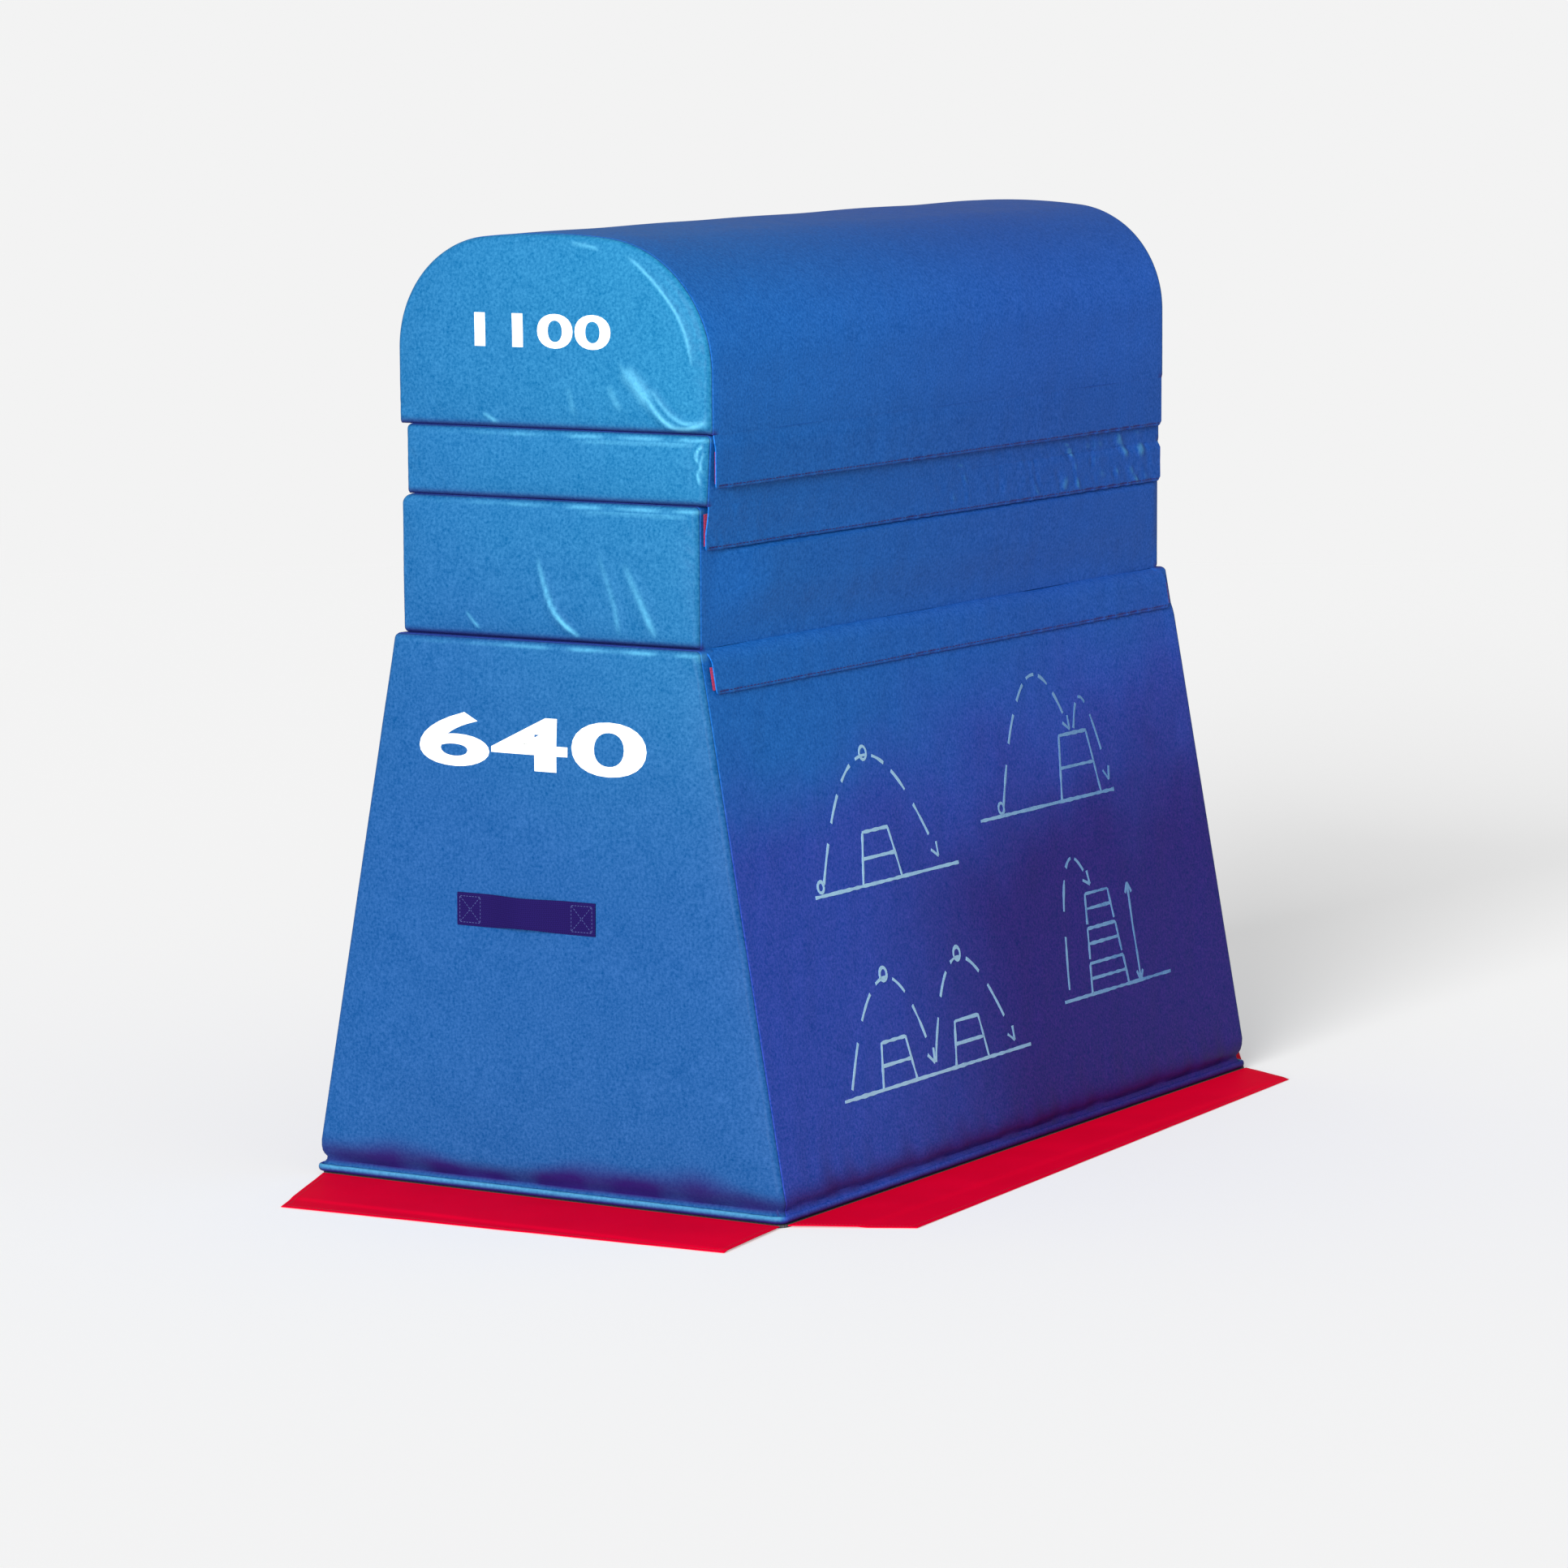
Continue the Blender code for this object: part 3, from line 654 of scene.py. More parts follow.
def from_arrays(name: str, points: Array, faces: Sequence, material: Material, degrees: float = 0.0,
                attributes: dict[str, Array] | None = None) -> Piece:
    """Make a piece from vertices and faces.

    Args:
        name: the piece's name.
        points: the vertices, one row each.
        faces: the faces, as rows of vertex numbers.
        material: its finish.
        degrees: edges past this are sharp, with the faces outwards; at 0 the faces are left as they are.
        attributes: one number for each vertex, by name.

    Returns:
        The new piece, linked to the scene.
    """
    data = bpy.data.meshes.new(name)
    rows = faces.tolist() if isinstance(faces, np.ndarray) else list(faces)
    data.from_pydata(np.asarray(points, float).tolist(), [], rows)
    for key, values in (attributes or {}).items():
        layer = data.attributes.new(key, "FLOAT", "POINT")
        layer.data.foreach_set("value", np.asarray(values, np.float32))
    data.materials.append(material)
    piece = bpy.data.objects.new(name, data)
    bpy.context.scene.collection.objects.link(piece)
    if degrees:
        outwards(piece)
        shade(piece, degrees)
    return piece


def strip_faces(grid: Array, closed: bool = False) -> Array:
    """Quads between the rows of a grid of vertex numbers.

    Args:
        grid: the vertex numbers, in rows.
        closed: whether each row joins up with its own start.

    Returns:
        One row of four vertex numbers for each quad.
    """
    right = np.roll(grid, -1, axis=1) if closed else grid[:, 1:]
    left = grid if closed else grid[:, :-1]
    quads = np.stack([left[:-1], right[:-1], right[1:], left[1:]], axis=-1)
    return quads.reshape(-1, 4)


def slab_faces(rows: int, columns: int) -> Array:
    """Faces of a thin slab, from two grids of vertices, the upper one numbered first.

    Args:
        rows: rows of each grid.
        columns: columns of each grid.

    Returns:
        One row of four vertex numbers for each quad.
    """
    grid = np.arange(rows * columns).reshape(rows, columns)
    edge = np.concatenate([grid[:-1, 0], grid[-1, :-1], grid[:0:-1, -1], grid[0, :0:-1]])
    return np.concatenate([strip_faces(grid), strip_faces(grid + grid.size)[:, ::-1],
                           strip_faces(np.stack([edge, edge + grid.size]), closed=True)])


def smoothstep(low: float, high: float, value: Array) -> Array:
    """A smooth step from 0 at low to 1 at high."""
    share = np.clip((np.asarray(value, float) - low) / (high - low), 0.0, 1.0)
    return share * share * (3.0 - 2.0 * share)


def drift(u: Array, v: Array, length: float, seed: int, waves: int = 7) -> Array:
    """Smooth seeded waviness of about plus or minus 1.

    Args:
        u: the first coordinate.
        v: the second coordinate.
        length: the usual wavelength.
        seed: picks the waves.
        waves: how many are summed.

    Returns:
        The waviness at each point.
    """
    dice = np.random.default_rng(seed)
    total = np.zeros(np.broadcast(u, v).shape)
    for _ in range(waves):
        heading, phase = dice.uniform(0.0, 2 * math.pi, 2)
        rate = 2 * math.pi / (length * dice.uniform(0.6, 1.7))
        total += np.sin((u * math.cos(heading) + v * math.sin(heading)) * rate + phase)
    return total / math.sqrt(waves * 1.2)


def unit(vectors: Array) -> Array:
    """Vectors brought to a length of 1."""
    return vectors / np.linalg.norm(vectors, axis=-1, keepdims=True)


def distances(line: Array) -> Array:
    """How far along a line each of its points is."""
    return np.concatenate([[0.0], np.cumsum(np.linalg.norm(np.diff(line, axis=0), axis=1))])


def read_at(spots: Array, lengths: Array, values: Array) -> Array:
    """Rows of values that are known at some lengths, read at other spots."""
    return np.stack([np.interp(spots, lengths, column) for column in values.T], axis=1)


def resample(line: Sequence[Point], pitch: float) -> Array:
    """Points at an even pitch along a line through given points.

    Args:
        line: the given points.
        pitch: about how far apart the new ones lie.

    Returns:
        The new points, the line's two ends among them.
    """
    line = np.asarray(line, float)
    lengths = distances(line)
    count = max(2, int(round(lengths[-1] / pitch)) + 1)
    return read_at(np.linspace(0.0, lengths[-1], count), lengths, line)


@dataclass(frozen=True)
class Fold:
    """A soft fold in a panel: a ridge along a line, with a valley on each side and a painted highlight on its
    crest.
    """

    line: tuple[Point, ...]
    width: float
    height: float
    start: float = 0.2
    finish: float = 1.0
    # How glossy the fold's crest is, and how strongly a highlight is painted on it.
    gloss: float = 1.0

    def raise_at(self, u: Array, v: Array) -> tuple[Array, Array]:
        """The fold's height and its gloss, which also paints its highlight, at points of the panel.

        Args:
            u: the panel's first coordinate.
            v: the panel's second coordinate.

        Returns:
            Height in metres, and gloss with painted highlight from 0 to 1.
        """
        line = resample(rounded(self.line), self.width / 3)
        best = np.full(u.shape, 1e9)
        share = np.zeros(u.shape)
        for k, (a, b) in enumerate(zip(line[:-1], line[1:])):
            step = b - a
            t = np.clip(((u - a[0]) * step[0] + (v - a[1]) * step[1]) / (step @ step), 0, 1)
            gap = np.hypot(u - a[0] - t * step[0], v - a[1] - t * step[1])
            nearer = gap < best
            best = np.where(nearer, gap, best)
            share = np.where(nearer, (k + t) / (len(line) - 1), share)
        swell = self.start + (self.finish - self.start) * share
        swell = swell * smoothstep(-0.02, 0.18, share) * (1.0 - 0.6 * smoothstep(0.86, 1.02, share))
        r = best / self.width
        shape = (1.0 - 0.9 * r * r) * np.exp(-0.75 * r * r)
        crest = np.exp(-(best / (0.3 * self.width)) ** 2)
        return self.height * swell * shape, self.gloss * swell * crest


def rounded(line: Sequence[Point], rounds: int = 3) -> Array:
    """Cut a line's corners until it curves, keeping its two ends.

    Args:
        line: its points.
        rounds: how often they are cut.

    Returns:
        The curved line's points.
    """
    points = np.asarray(line, float)
    for _ in range(rounds):
        cuts = np.empty((2 * len(points) - 2, 2))
        cuts[0::2] = points[:-1] * 0.75 + points[1:] * 0.25
        cuts[1::2] = points[:-1] * 0.25 + points[1:] * 0.75
        cuts[0], cuts[-1] = points[0], points[-1]
        points = cuts
    return points


def side_relief(x: Array, z: Array) -> Array:
    """How far the long sides' skin stands out of true, which covers and flaps share.

    Args:
        x: place along the trainer.
        z: height.

    Returns:
        Metres outwards.
    """
    calm = 0.00045 * drift(x, z, 0.21, 3) + 0.00018 * drift(x, z, 0.06, 8)
    low = (1.0 - smoothstep(0.02, 0.09, z)) * 0.0008 * drift(x, z * 0.3, 0.05, 23)
    return (calm + 0.0009 * wrinkles(x, z) + low) * (1.0 - smoothstep(0.515, 0.545, np.abs(x)))


def wrinkles(x: Array, z: Array) -> Array:
    """Slanting wrinkles about the risers' joint on the long sides, mostly towards the rear.

    Args:
        x: place along the trainer.
        z: height.

    Returns:
        Their height, of about plus or minus 1.
    """
    far = smoothstep(-0.05, 0.4, x) + 0.6 * np.exp(-((x - 0.02) / 0.05) ** 2)
    near = smoothstep(-0.34, -0.5, x) * 0.4
    band = smoothstep(0.744, 0.76, z) * (1.0 - smoothstep(0.812, 0.826, z))
    lean = x + 0.55 * (z - 0.78) + 0.011 * drift(x, z, 0.07, 14)
    waves = np.sin(2 * math.pi * lean / 0.034) + 0.7 * np.sin(2 * math.pi * lean / 0.0195 + 1.0)
    return (far + near) * band * waves * np.clip(0.35 + 0.8 * drift(x, z * 1.6, 0.05, 29), 0.0, 1.2)


def wrinkle_shine(x: Array, z: Array) -> Array:
    """The painted highlight on the wrinkles' crests, for the crease mark."""
    return np.clip(wrinkles(x, z) - 0.55, 0.0, 1.0) * 0.4


# Padded blocks


class Part:
    """A sub-assembly, which makes its own pieces."""

    def build(self, finishes: Finishes) -> list[Piece]:
        """Make the pieces.

        Args:
            finishes: the trainer's finishes.

        Returns:
            The pieces, on their bodies.
        """
        raise NotImplementedError


@dataclass(frozen=True)
class Lean:
    """How far one long side of a block stands out of true, at its front and rear, low and high."""

    front_low: float = 0.0
    front_high: float = 0.0
    rear_low: float = 0.0
    rear_high: float = 0.0
    span: float = 1.08

    def at(self, x: Array, share: Array) -> Array:
        """Metres outwards at a place along the block and a share of its height."""
        back = np.clip((np.asarray(x, float) + BLOCK_HALF) / self.span, 0.0, 1.0)
        low = self.front_low + (self.rear_low - self.front_low) * back
        high = self.front_high + (self.rear_high - self.front_high) * back
        return low + (high - low) * np.clip(share, 0.0, 1.0)


@dataclass
class PaddedBlock(Part):
    """A foam block in its sewn vinyl cover, from a loft along X with padded end panels."""

    name: str
    bottom: float
    top: float
    half_foot: float
    half_top: float
    length_foot: float = PANEL_HALF
    length_top: float = PANEL_HALF
    foot_round: float = 0.009
    shoulder: float = 0.006
    rim: float = 0.009
    crown: float = 0.0062
    pad: float = 0.022
    crest_angle: float = 0.0
    foot_steps: int = 6
    shoulder_steps: int = 8
    top_steps: int = 160
    side_steps: int = 20
    pitch: float = 0.008
    recess: float = 0.0056
    rows: tuple[float, ...] = (0.001, 0.002)
    end_shoulder: float = 0.0
    shoulders: dict[Side, Point] = field(default_factory=dict)
    leans: dict[Side, Lean] = field(default_factory=dict)
    drop: float = 0.0
    swell: Point = (0.0, 0.0)
    tuck: float = 0.0
    necked: bool = False
    front_folds: tuple[Fold, ...] = ()
    rear_folds: tuple[Fold, ...] = ()
    rim_angles: tuple[float, ...] = (6, 12, 15, 18, 21, 26, 33, 42, 52, 62, 71, 80, 90)
    seam_angle: float = 16.0
    seam_depth: float = 0.0005

    @property
    def slope(self) -> float:
        """Change of half width with height."""
        return (self.half_top - self.half_foot) / (self.top - self.bottom)

    def half_width(self, z: Array) -> Array:
        """Half width of the flat sides at a height."""
        return self.half_foot + self.slope * (z - self.bottom)

    def half_length(self, z: Array) -> Array:
        """Half length to the end panels' edges at a height."""
        share = (z - self.bottom) / (self.top - self.bottom)
        return self.length_foot + (self.length_top - self.length_foot) * share

    def offset(self, x: Array, z: Array, side: Side) -> Array:
        """How far a long side leans out of true at a place.

        Args:
            x: place along the block.
            z: height.
            side: the long side.

        Returns:
            Metres outwards.
        """
        lean = self.leans.get(side, Lean())
        hem = self.top - self.drop
        swell = smoothstep(hem + 0.0005, hem - 0.006, z) * smoothstep(-0.53, -0.4, x)
        swell = swell * (1.0 - smoothstep(0.52, 0.54, x)) * np.interp(x, (-0.4, 0.5), self.swell)
        swell = swell * smoothstep(self.bottom + 0.01, self.bottom + 0.065, z)
        tuck = self.tuck * smoothstep(hem - 0.006, hem + 0.0005, z) * smoothstep(-0.54, 0.0, x)
        share = (np.asarray(z, float) - self.bottom) / (self.top - self.bottom)
        return lean.at(x, share) + swell - tuck

    def shoulder_at(self, x: float, side: Side) -> float:
        """Radius of the shoulder on one side at a place along the block.

        Args:
            x: the place.
            side: the long side.

        Returns:
            The radius.
        """
        if side in self.shoulders:
            front, rear = self.shoulders[side]
            return front + (rear - front) * min(max(x / 1.08 + 0.5, 0.0), 1.0)
        if self.end_shoulder:
            share = float(smoothstep(0.524, 0.536, abs(x)))
            return self.shoulder + (self.end_shoulder - self.shoulder) * share
        return self.shoulder

    def half_outline(self, inset: float, foot: float, shoulder: float) -> tuple[Array, Array]:
        """Half of the block's outline, from the middle of its foot to its crest.

        Args:
            inset: how far in from the skin.
            foot: radius of the foot's round.
            shoulder: radius of the shoulder's round.

        Returns:
            Points in (y, z), and the outward directions there.
        """
        stretch = math.hypot(1.0, self.slope)
        side = math.atan2(-self.slope, 1.0)
        foot = max(foot, inset + TINY)
        foot_z = self.bottom + foot
        foot_y = self.half_width(foot_z) - foot * stretch
        shoulder = max(shoulder, inset + TINY)
        tilt = self.crest_angle
        if tilt:
            crest = shoulder + (self.half_top - shoulder) / math.sin(tilt)
            shoulder_z = self.top - crest + (crest - shoulder) * math.cos(tilt)
        else:
            shoulder_z = self.top - shoulder
        shoulder_y = self.half_width(shoulder_z) - shoulder * stretch
        down = -math.pi / 2
        flat = np.concatenate([[0.0, 0.006, 0.0118, 0.0122],
                               np.linspace(0.0122, foot_y, self.bottom_steps - 2)[1:]])
        pieces = [(np.stack([flat, np.full(len(flat), self.bottom + inset)], 1),
                   np.full(len(flat), down))]
        turn = np.linspace(down, side, self.foot_steps + 1)[1:]
        pieces.append((around(foot_y, foot_z, foot - inset, turn), turn))
        turn = np.linspace(side, math.pi / 2 - tilt, self.shoulder_steps + 1)
        low, arc = pieces[-1][0][-1], around(shoulder_y, shoulder_z, shoulder - inset, turn)
        length = float(np.linalg.norm(arc[0] - low))
        even = self.side_steps - len(self.rows) - 1
        share = np.concatenate([np.array(self.rows) / length,
                                np.linspace(self.rows[-1] / length, 1.0 - 0.001 / length, even + 1)[1:]])
        pieces.append((low + (arc[0] - low) * share[:, None], np.full(len(share), side)))
        pieces.append((arc, turn))
        if tilt:
            turn = np.linspace(math.pi / 2 - tilt, math.pi / 2, self.top_steps // 2 + 1)[1:]
            pieces.append((around(0.0, self.top - crest, crest - inset, turn), turn))
        else:
            run = np.linspace(shoulder_y, 0.0, self.top_steps // 2 + 1)[1:]
            pieces.append((np.stack([run, np.full(len(run), self.top - inset)], 1),
                           np.full(len(run), math.pi / 2)))
        turn = np.concatenate([piece[1] for piece in pieces])
        return np.concatenate([piece[0] for piece in pieces]), np.stack([np.cos(turn), np.sin(turn)], 1)

    @property
    def bottom_steps(self) -> int:
        """Steps on half of the foot, so that foot and crest have the same number."""
        return (self.shoulder_steps + self.top_steps - self.foot_steps) // 2

    def loop(self, inset: float, foot: float, x: float = 0.0) -> tuple[Array, Array]:
        """The whole outline and its outward directions, once round from the middle of the foot.

        Args:
            inset: how far in from the skin.
            foot: radius of the foot's round.
            x: place along the block.

        Returns:
            Points in (y, z), and the outward directions there.
        """
        left, left_out = self.half_outline(inset, foot, self.shoulder_at(x, Side.LEFT))
        right, right_out = self.half_outline(inset, foot, self.shoulder_at(x, Side.RIGHT))
        mirror = np.array([-1.0, 1.0])
        return (np.concatenate([left, right[-2:0:-1] * mirror]),
                np.concatenate([left_out, right_out[-2:0:-1] * mirror]))

    def padding(self, y: Array, z: Array) -> Array:
        """How far an end panel stands out of its edge, from the foam that fills it.

        Args:
            y: place across the panel.
            z: height.

        Returns:
            Metres outwards.
        """
        beside = self.half_width(z) - np.abs(y)
        if self.crest_angle:
            centre_y, centre_z = self.half_top - self.shoulder, self.top - self.shoulder - 0.004
            corner = self.shoulder - np.hypot(np.maximum(np.abs(y) - centre_y, 0.0),
                                              np.maximum(z - centre_z, 0.0))
            edge = np.where(z > centre_z, corner, beside)
        else:
            edge = smooth_least(beside, self.top - z, self.pad)
        lift = 1.0 - np.exp(-np.maximum(edge - self.rim, 0.0) / self.pad)
        foot = z - self.bottom - self.rim
        return self.crown * lift * (1.0 - np.exp(-np.maximum(foot, 0.0) / self.pad))

    def puckers(self, y: Array, z: Array, end: End) -> Array:
        """Small gathers beside the end panel's seam.

        Args:
            y: place across the panel.
            z: height.
            end: which end.

        Returns:
            Metres outwards.
        """
        seed = 31 + len(self.name) * 3 + end.sign
        side = self.half_width(z) - np.abs(y)
        rise = np.sin(2 * math.pi * (z + 0.004 * drift(y, z, 0.03, seed)) / 0.0185 + np.sign(y))
        run = np.sin(2 * math.pi * (y + 0.005 * drift(y, z, 0.04, seed + 1)) / 0.023)
        some = np.clip(0.35 + 0.65 * drift(y, z, 0.11, seed + 2), 0.0, 1.4)
        near_side = np.exp(-np.maximum(side - self.rim, 0.0) / 0.012)
        near_top = np.exp(-np.maximum(self.top - z - self.rim, 0.0) / 0.012)
        near_foot = np.exp(-np.maximum(z - self.bottom - self.rim, 0.0) / 0.014)
        return 0.00055 * some * (near_side * rise + (near_top * 0.7 + near_foot) * run)

    def folds_at(self, end: End) -> tuple[Fold, ...]:
        """The folds of one end panel."""
        return self.front_folds if end is End.FRONT else self.rear_folds

    def panel_relief(self, y: Array, z: Array, end: End) -> tuple[Array, Array]:
        """Everything that moves an end panel out of its plane.

        Args:
            y: place across the panel.
            z: height.
            end: which end.

        Returns:
            Metres outwards, and the gloss and painted highlight of its folds.
        """
        rise = self.padding(y, z) + self.puckers(y, z, end)
        rise = rise + 0.0006 * drift(y, z, 0.12, 40 + len(self.name) + end.sign)
        gloss = np.zeros(np.shape(y))
        for fold in self.folds_at(end):
            height, shine = fold.raise_at(y, z)
            rise = rise + height
            gloss = np.maximum(gloss, shine)
        return rise, gloss

    def end_surface(self, y: Array, z: Array, end: End) -> Array:
        """X of an end panel's skin."""
        rise, _ = self.panel_relief(np.asarray(y, float), np.asarray(z, float), end)
        return end.sign * (self.half_length(z) + rise)

    def side_surface(self, x: Array, z: Array, side: Side) -> Array:
        """Y of a long side's skin."""
        return side.sign * (self.half_width(z) + side_relief(x, z) + self.offset(x, z, side))

    def beneath(self, x: Array, z: Array, side: Side) -> Array:
        """How far out a flap over this block must be at a height, with the shoulder's round.

        Args:
            x: place along the block.
            z: height.
            side: the long side.

        Returns:
            Half width there, in metres.
        """
        radius = self.shoulder_at(0.0, side)
        short = np.clip(radius - (self.top - z), 0.0, radius)
        return (self.half_width(z) + self.offset(x, z, side)
                - radius + np.sqrt(np.maximum(radius ** 2 - short ** 2, 0.0)))

    def stations(self) -> Array:
        """Places along the straight stretch of the block, as shares of its half length."""
        reach = self.length_foot - self.rim
        count = int(round(2 * reach / self.pitch))
        spots = np.concatenate([np.linspace(-reach, reach, count + 1), [-0.4402, -0.4399, 0.4399, 0.4402]])
        return np.sort(spots) / reach

    def foot_at(self, angle: float) -> float:
        """Radius of the foot's round at a station of the rim, which flaps keep square elsewhere."""
        if self.necked:
            return self.foot_round
        return TINY + (self.foot_round - TINY) * math.sin(math.radians(angle))

    def build(self, finishes: Finishes) -> list[Piece]:
        """Make the cover and the foam core inside it.

        Args:
            finishes: the trainer's finishes.

        Returns:
            The pieces.
        """
        cover = self.cover(finishes.vinyl)
        core = self.core(finishes.foam)
        for piece, node, slot, fill in ((cover, "cover", "vinyl", 0.9), (core, "foam", "foam", 1.0)):
            fit(piece, self.name, f"{self.name}_{node}")
        return [cover, core]

    def body_ring(self, share: float) -> Array:
        """One ring of the straight stretch.

        Args:
            share: its place, as a share of the half length.

        Returns:
            For each vertex x, y, z and the marks panel, seam (painted shade) and crease (painted highlight).
        """
        ring, normal = self.loop(0.0, self.foot_at(0.0), share * (self.length_foot - self.rim))
        x = share * (self.half_length(ring[:, 1]) - self.rim)
        return np.column_stack([x, self.skin(x, ring, normal), np.zeros((len(ring), 3))])

    def rim_ring(self, angle: float, end: End) -> Array:
        """One ring of the round between the sides and an end panel, with the panel's seam in it.

        Args:
            angle: degrees round from the sides.
            end: which end.

        Returns:
            For each vertex x, y, z and the marks panel, seam and crease.
        """
        turn = math.radians(angle)
        inset = self.rim * (1.0 - math.cos(turn))
        ring, normal = self.loop(inset, self.foot_at(angle), end.sign * BLOCK_HALF)
        dent = self.seam_depth * math.exp(-((angle - self.seam_angle) / 4.0) ** 2)
        rise, gloss = self.panel_relief(ring[:, 0], ring[:, 1], end)
        past = self.rim * (math.sin(turn) - 1.0)
        x = self.half_length(ring[:, 1]) + past - dent * math.sin(turn)
        x = end.sign * (x + rise * math.sin(turn) ** 2)
        lift = side_relief(x, ring[:, 1]) * normal[:, 0] ** 2 - dent
        ring = ring + normal * (lift * math.cos(turn))[:, None]
        arc = smoothstep(0.1, -0.14, ring[:, 0]) * smoothstep(0.45, 1.0, ring[:, 1] / CAP_TOP)
        # Painted shade along the end panel's seam, strongest round the cap's right-hand arc.
        seam = 0.7 * math.exp(-((angle - self.seam_angle) / 3.0) ** 2) * (0.15 + 0.85 * arc)
        panel = np.full(len(ring), float(angle >= self.seam_angle))
        return np.column_stack([x, ring, panel, seam, gloss * math.sin(turn) ** 2])

    def cover(self, material: Material) -> Piece:
        """The sewn cover as one closed skin.

        Args:
            material: its finish.

        Returns:
            The cover.
        """
        body = [self.body_ring(share) for share in self.stations()]
        rims = [self.rim_ring(angle, end) for end in End for angle in self.rim_angles]
        table = np.concatenate(body + rims)
        numbers = np.arange(len(table)).reshape(len(body) + len(rims), -1)
        front, rear = np.split(numbers[len(body):], 2)
        faces = [strip_faces(np.concatenate([front[::-1], numbers[:len(body)], rear]), closed=True)]
        for end, ring in ((End.FRONT, front[-1]), (End.REAR, rear[-1])):
            inner, more = self.panel_grid(table, ring, end)
            table = np.concatenate([table, inner])
            faces.append(more)
        self.mark(table)
        return from_arrays(f"{self.name}_padded_cover", self.settle(table[:, :3]), np.concatenate(faces),
                           material, 42.0, dict(zip(("panel", "seam", "crease"), table[:, 3:].T)))

    def mark(self, table: Array) -> None:
        """Sink the zip's place in the foot, and mark painted shade along the joints and above the piping and
        painted highlights on the folds.

        Args:
            table: the cover's vertices and marks, which it changes.
        """
        x, y, z, panel, seam, crease = table.T
        flat = (np.abs(x) < 0.44) & (np.abs(y) < 0.012) & (z < self.bottom + 0.002)
        z[flat] += self.recess
        # Painted shade: the band above the piping, and dark lines along the end panels' joints at the foot
        # and the top.
        end = smoothstep(0.527, 0.534, np.abs(x))
        low = np.exp(-(np.maximum(z - self.bottom, 0.0) / 0.0056) ** 2) * (self.bottom > 0.1)
        high = np.exp(-((self.top - z) / 0.0016) ** 2) * (not self.crest_angle)
        for shade_at in (self.shadow(table[:, :3]), end * np.maximum(low * 0.9, high * 0.8)):
            np.maximum(seam, shade_at, out=seam)
        # Painted highlight: a bright line just below the top edge of the end panels, stronger towards -Y, and
        # on the crests of the side wrinkles.
        shine = np.exp(-((self.top - z - 0.0062) / 0.0022) ** 2) * (not self.crest_angle)
        shine = shine * np.clip(0.55 + 0.5 * drift(x, y, 0.06, 27), 0.1, 1.0) * smoothstep(0.25, -0.12, y)
        folds = wrinkle_shine(x, z) * (1.0 - panel) * (np.abs(y) > self.half_width(z) - 0.012)
        for gloss in (end * shine * 0.55, folds):
            np.maximum(crease, gloss, out=crease)

    def settle(self, points: Array) -> Array:
        """Lean the skin out of true, and draw its foot in to the piping where it has one.

        Args:
            points: the cover's vertices.

        Returns:
            The vertices in their final places.
        """
        x, y, z = points.T
        width = self.half_width(z)
        lean = np.where(y > 0, self.offset(x, z, Side.LEFT), self.offset(x, z, Side.RIGHT))
        share = np.clip(np.abs(y) / width, 0.0, 1.0) ** 2
        y = y + np.sign(y) * lean * share
        if self.necked:
            wave = 1.0 + 0.16 * drift(x, y, 0.12, 33)
            rise = np.where(z > 0.0125, 0.0125 + (z - 0.0125) / wave, z)
            pull = 1.0 - smoothstep(0.021, 0.04, rise)
            notch = 0.004 * np.exp(-((rise - 0.0178) / 0.004) ** 2)
            full_y, full_x = width + lean, self.half_length(z) + 0.0045
            y = y * (1.0 - pull + pull * (0.3128 + foot_lean(x, y) - notch) / full_y)
            x = x * (1.0 - pull + pull * (0.5684 - notch) / full_x)
        return np.column_stack([x, y, z])

    def shadow(self, points: Array) -> Array:
        """Painted shade in the fold above the piping, for the seam attribute.

        Args:
            points: the cover's vertices.

        Returns:
            Its depth at each of them, from 0 to 1.
        """
        if not self.necked:
            return np.zeros(len(points))
        x, y, z = points.T
        wave = 1.0 + 0.22 * drift(x, y, 0.1, 35)
        rise = np.where(z > 0.0125, (z - 0.0125) / wave, -1.0)
        band = smoothstep(-0.0005, 0.0025, rise) * (1.0 - smoothstep(0.012, 0.04, rise))
        some = np.clip(0.8 + 0.3 * drift(x, y, 0.07, 36), 0.3, 1.0)
        ends = smoothstep(0.55, 0.565, np.abs(x))
        middle = 0.6 + 0.4 * np.exp(-(y / 0.2) ** 4)
        return np.clip(band * (0.35 + 0.75 * some) * (0.5 + 0.55 * ends * middle), 0.0, 1.0)

    def skin(self, x: Array, ring: Array, normal: Array) -> Array:
        """Move a ring of the body by the relief of the long sides and of the crest.

        Args:
            x: place of each of its points along the block.
            ring: the points in (y, z).
            normal: the outward directions there.

        Returns:
            The moved points.
        """
        sideways = normal[:, 0] ** 2 * side_relief(x, ring[:, 1])
        upwards = 0.0
        if self.crest_angle:
            upwards = np.maximum(normal[:, 1], 0.0) ** 2 * 0.0005 * drift(x, ring[:, 0], 0.24, 51)
            upwards = upwards * (1.0 - smoothstep(0.5, 0.53, np.abs(x)))
        return ring + normal * np.reshape(sideways + upwards, (-1, 1))

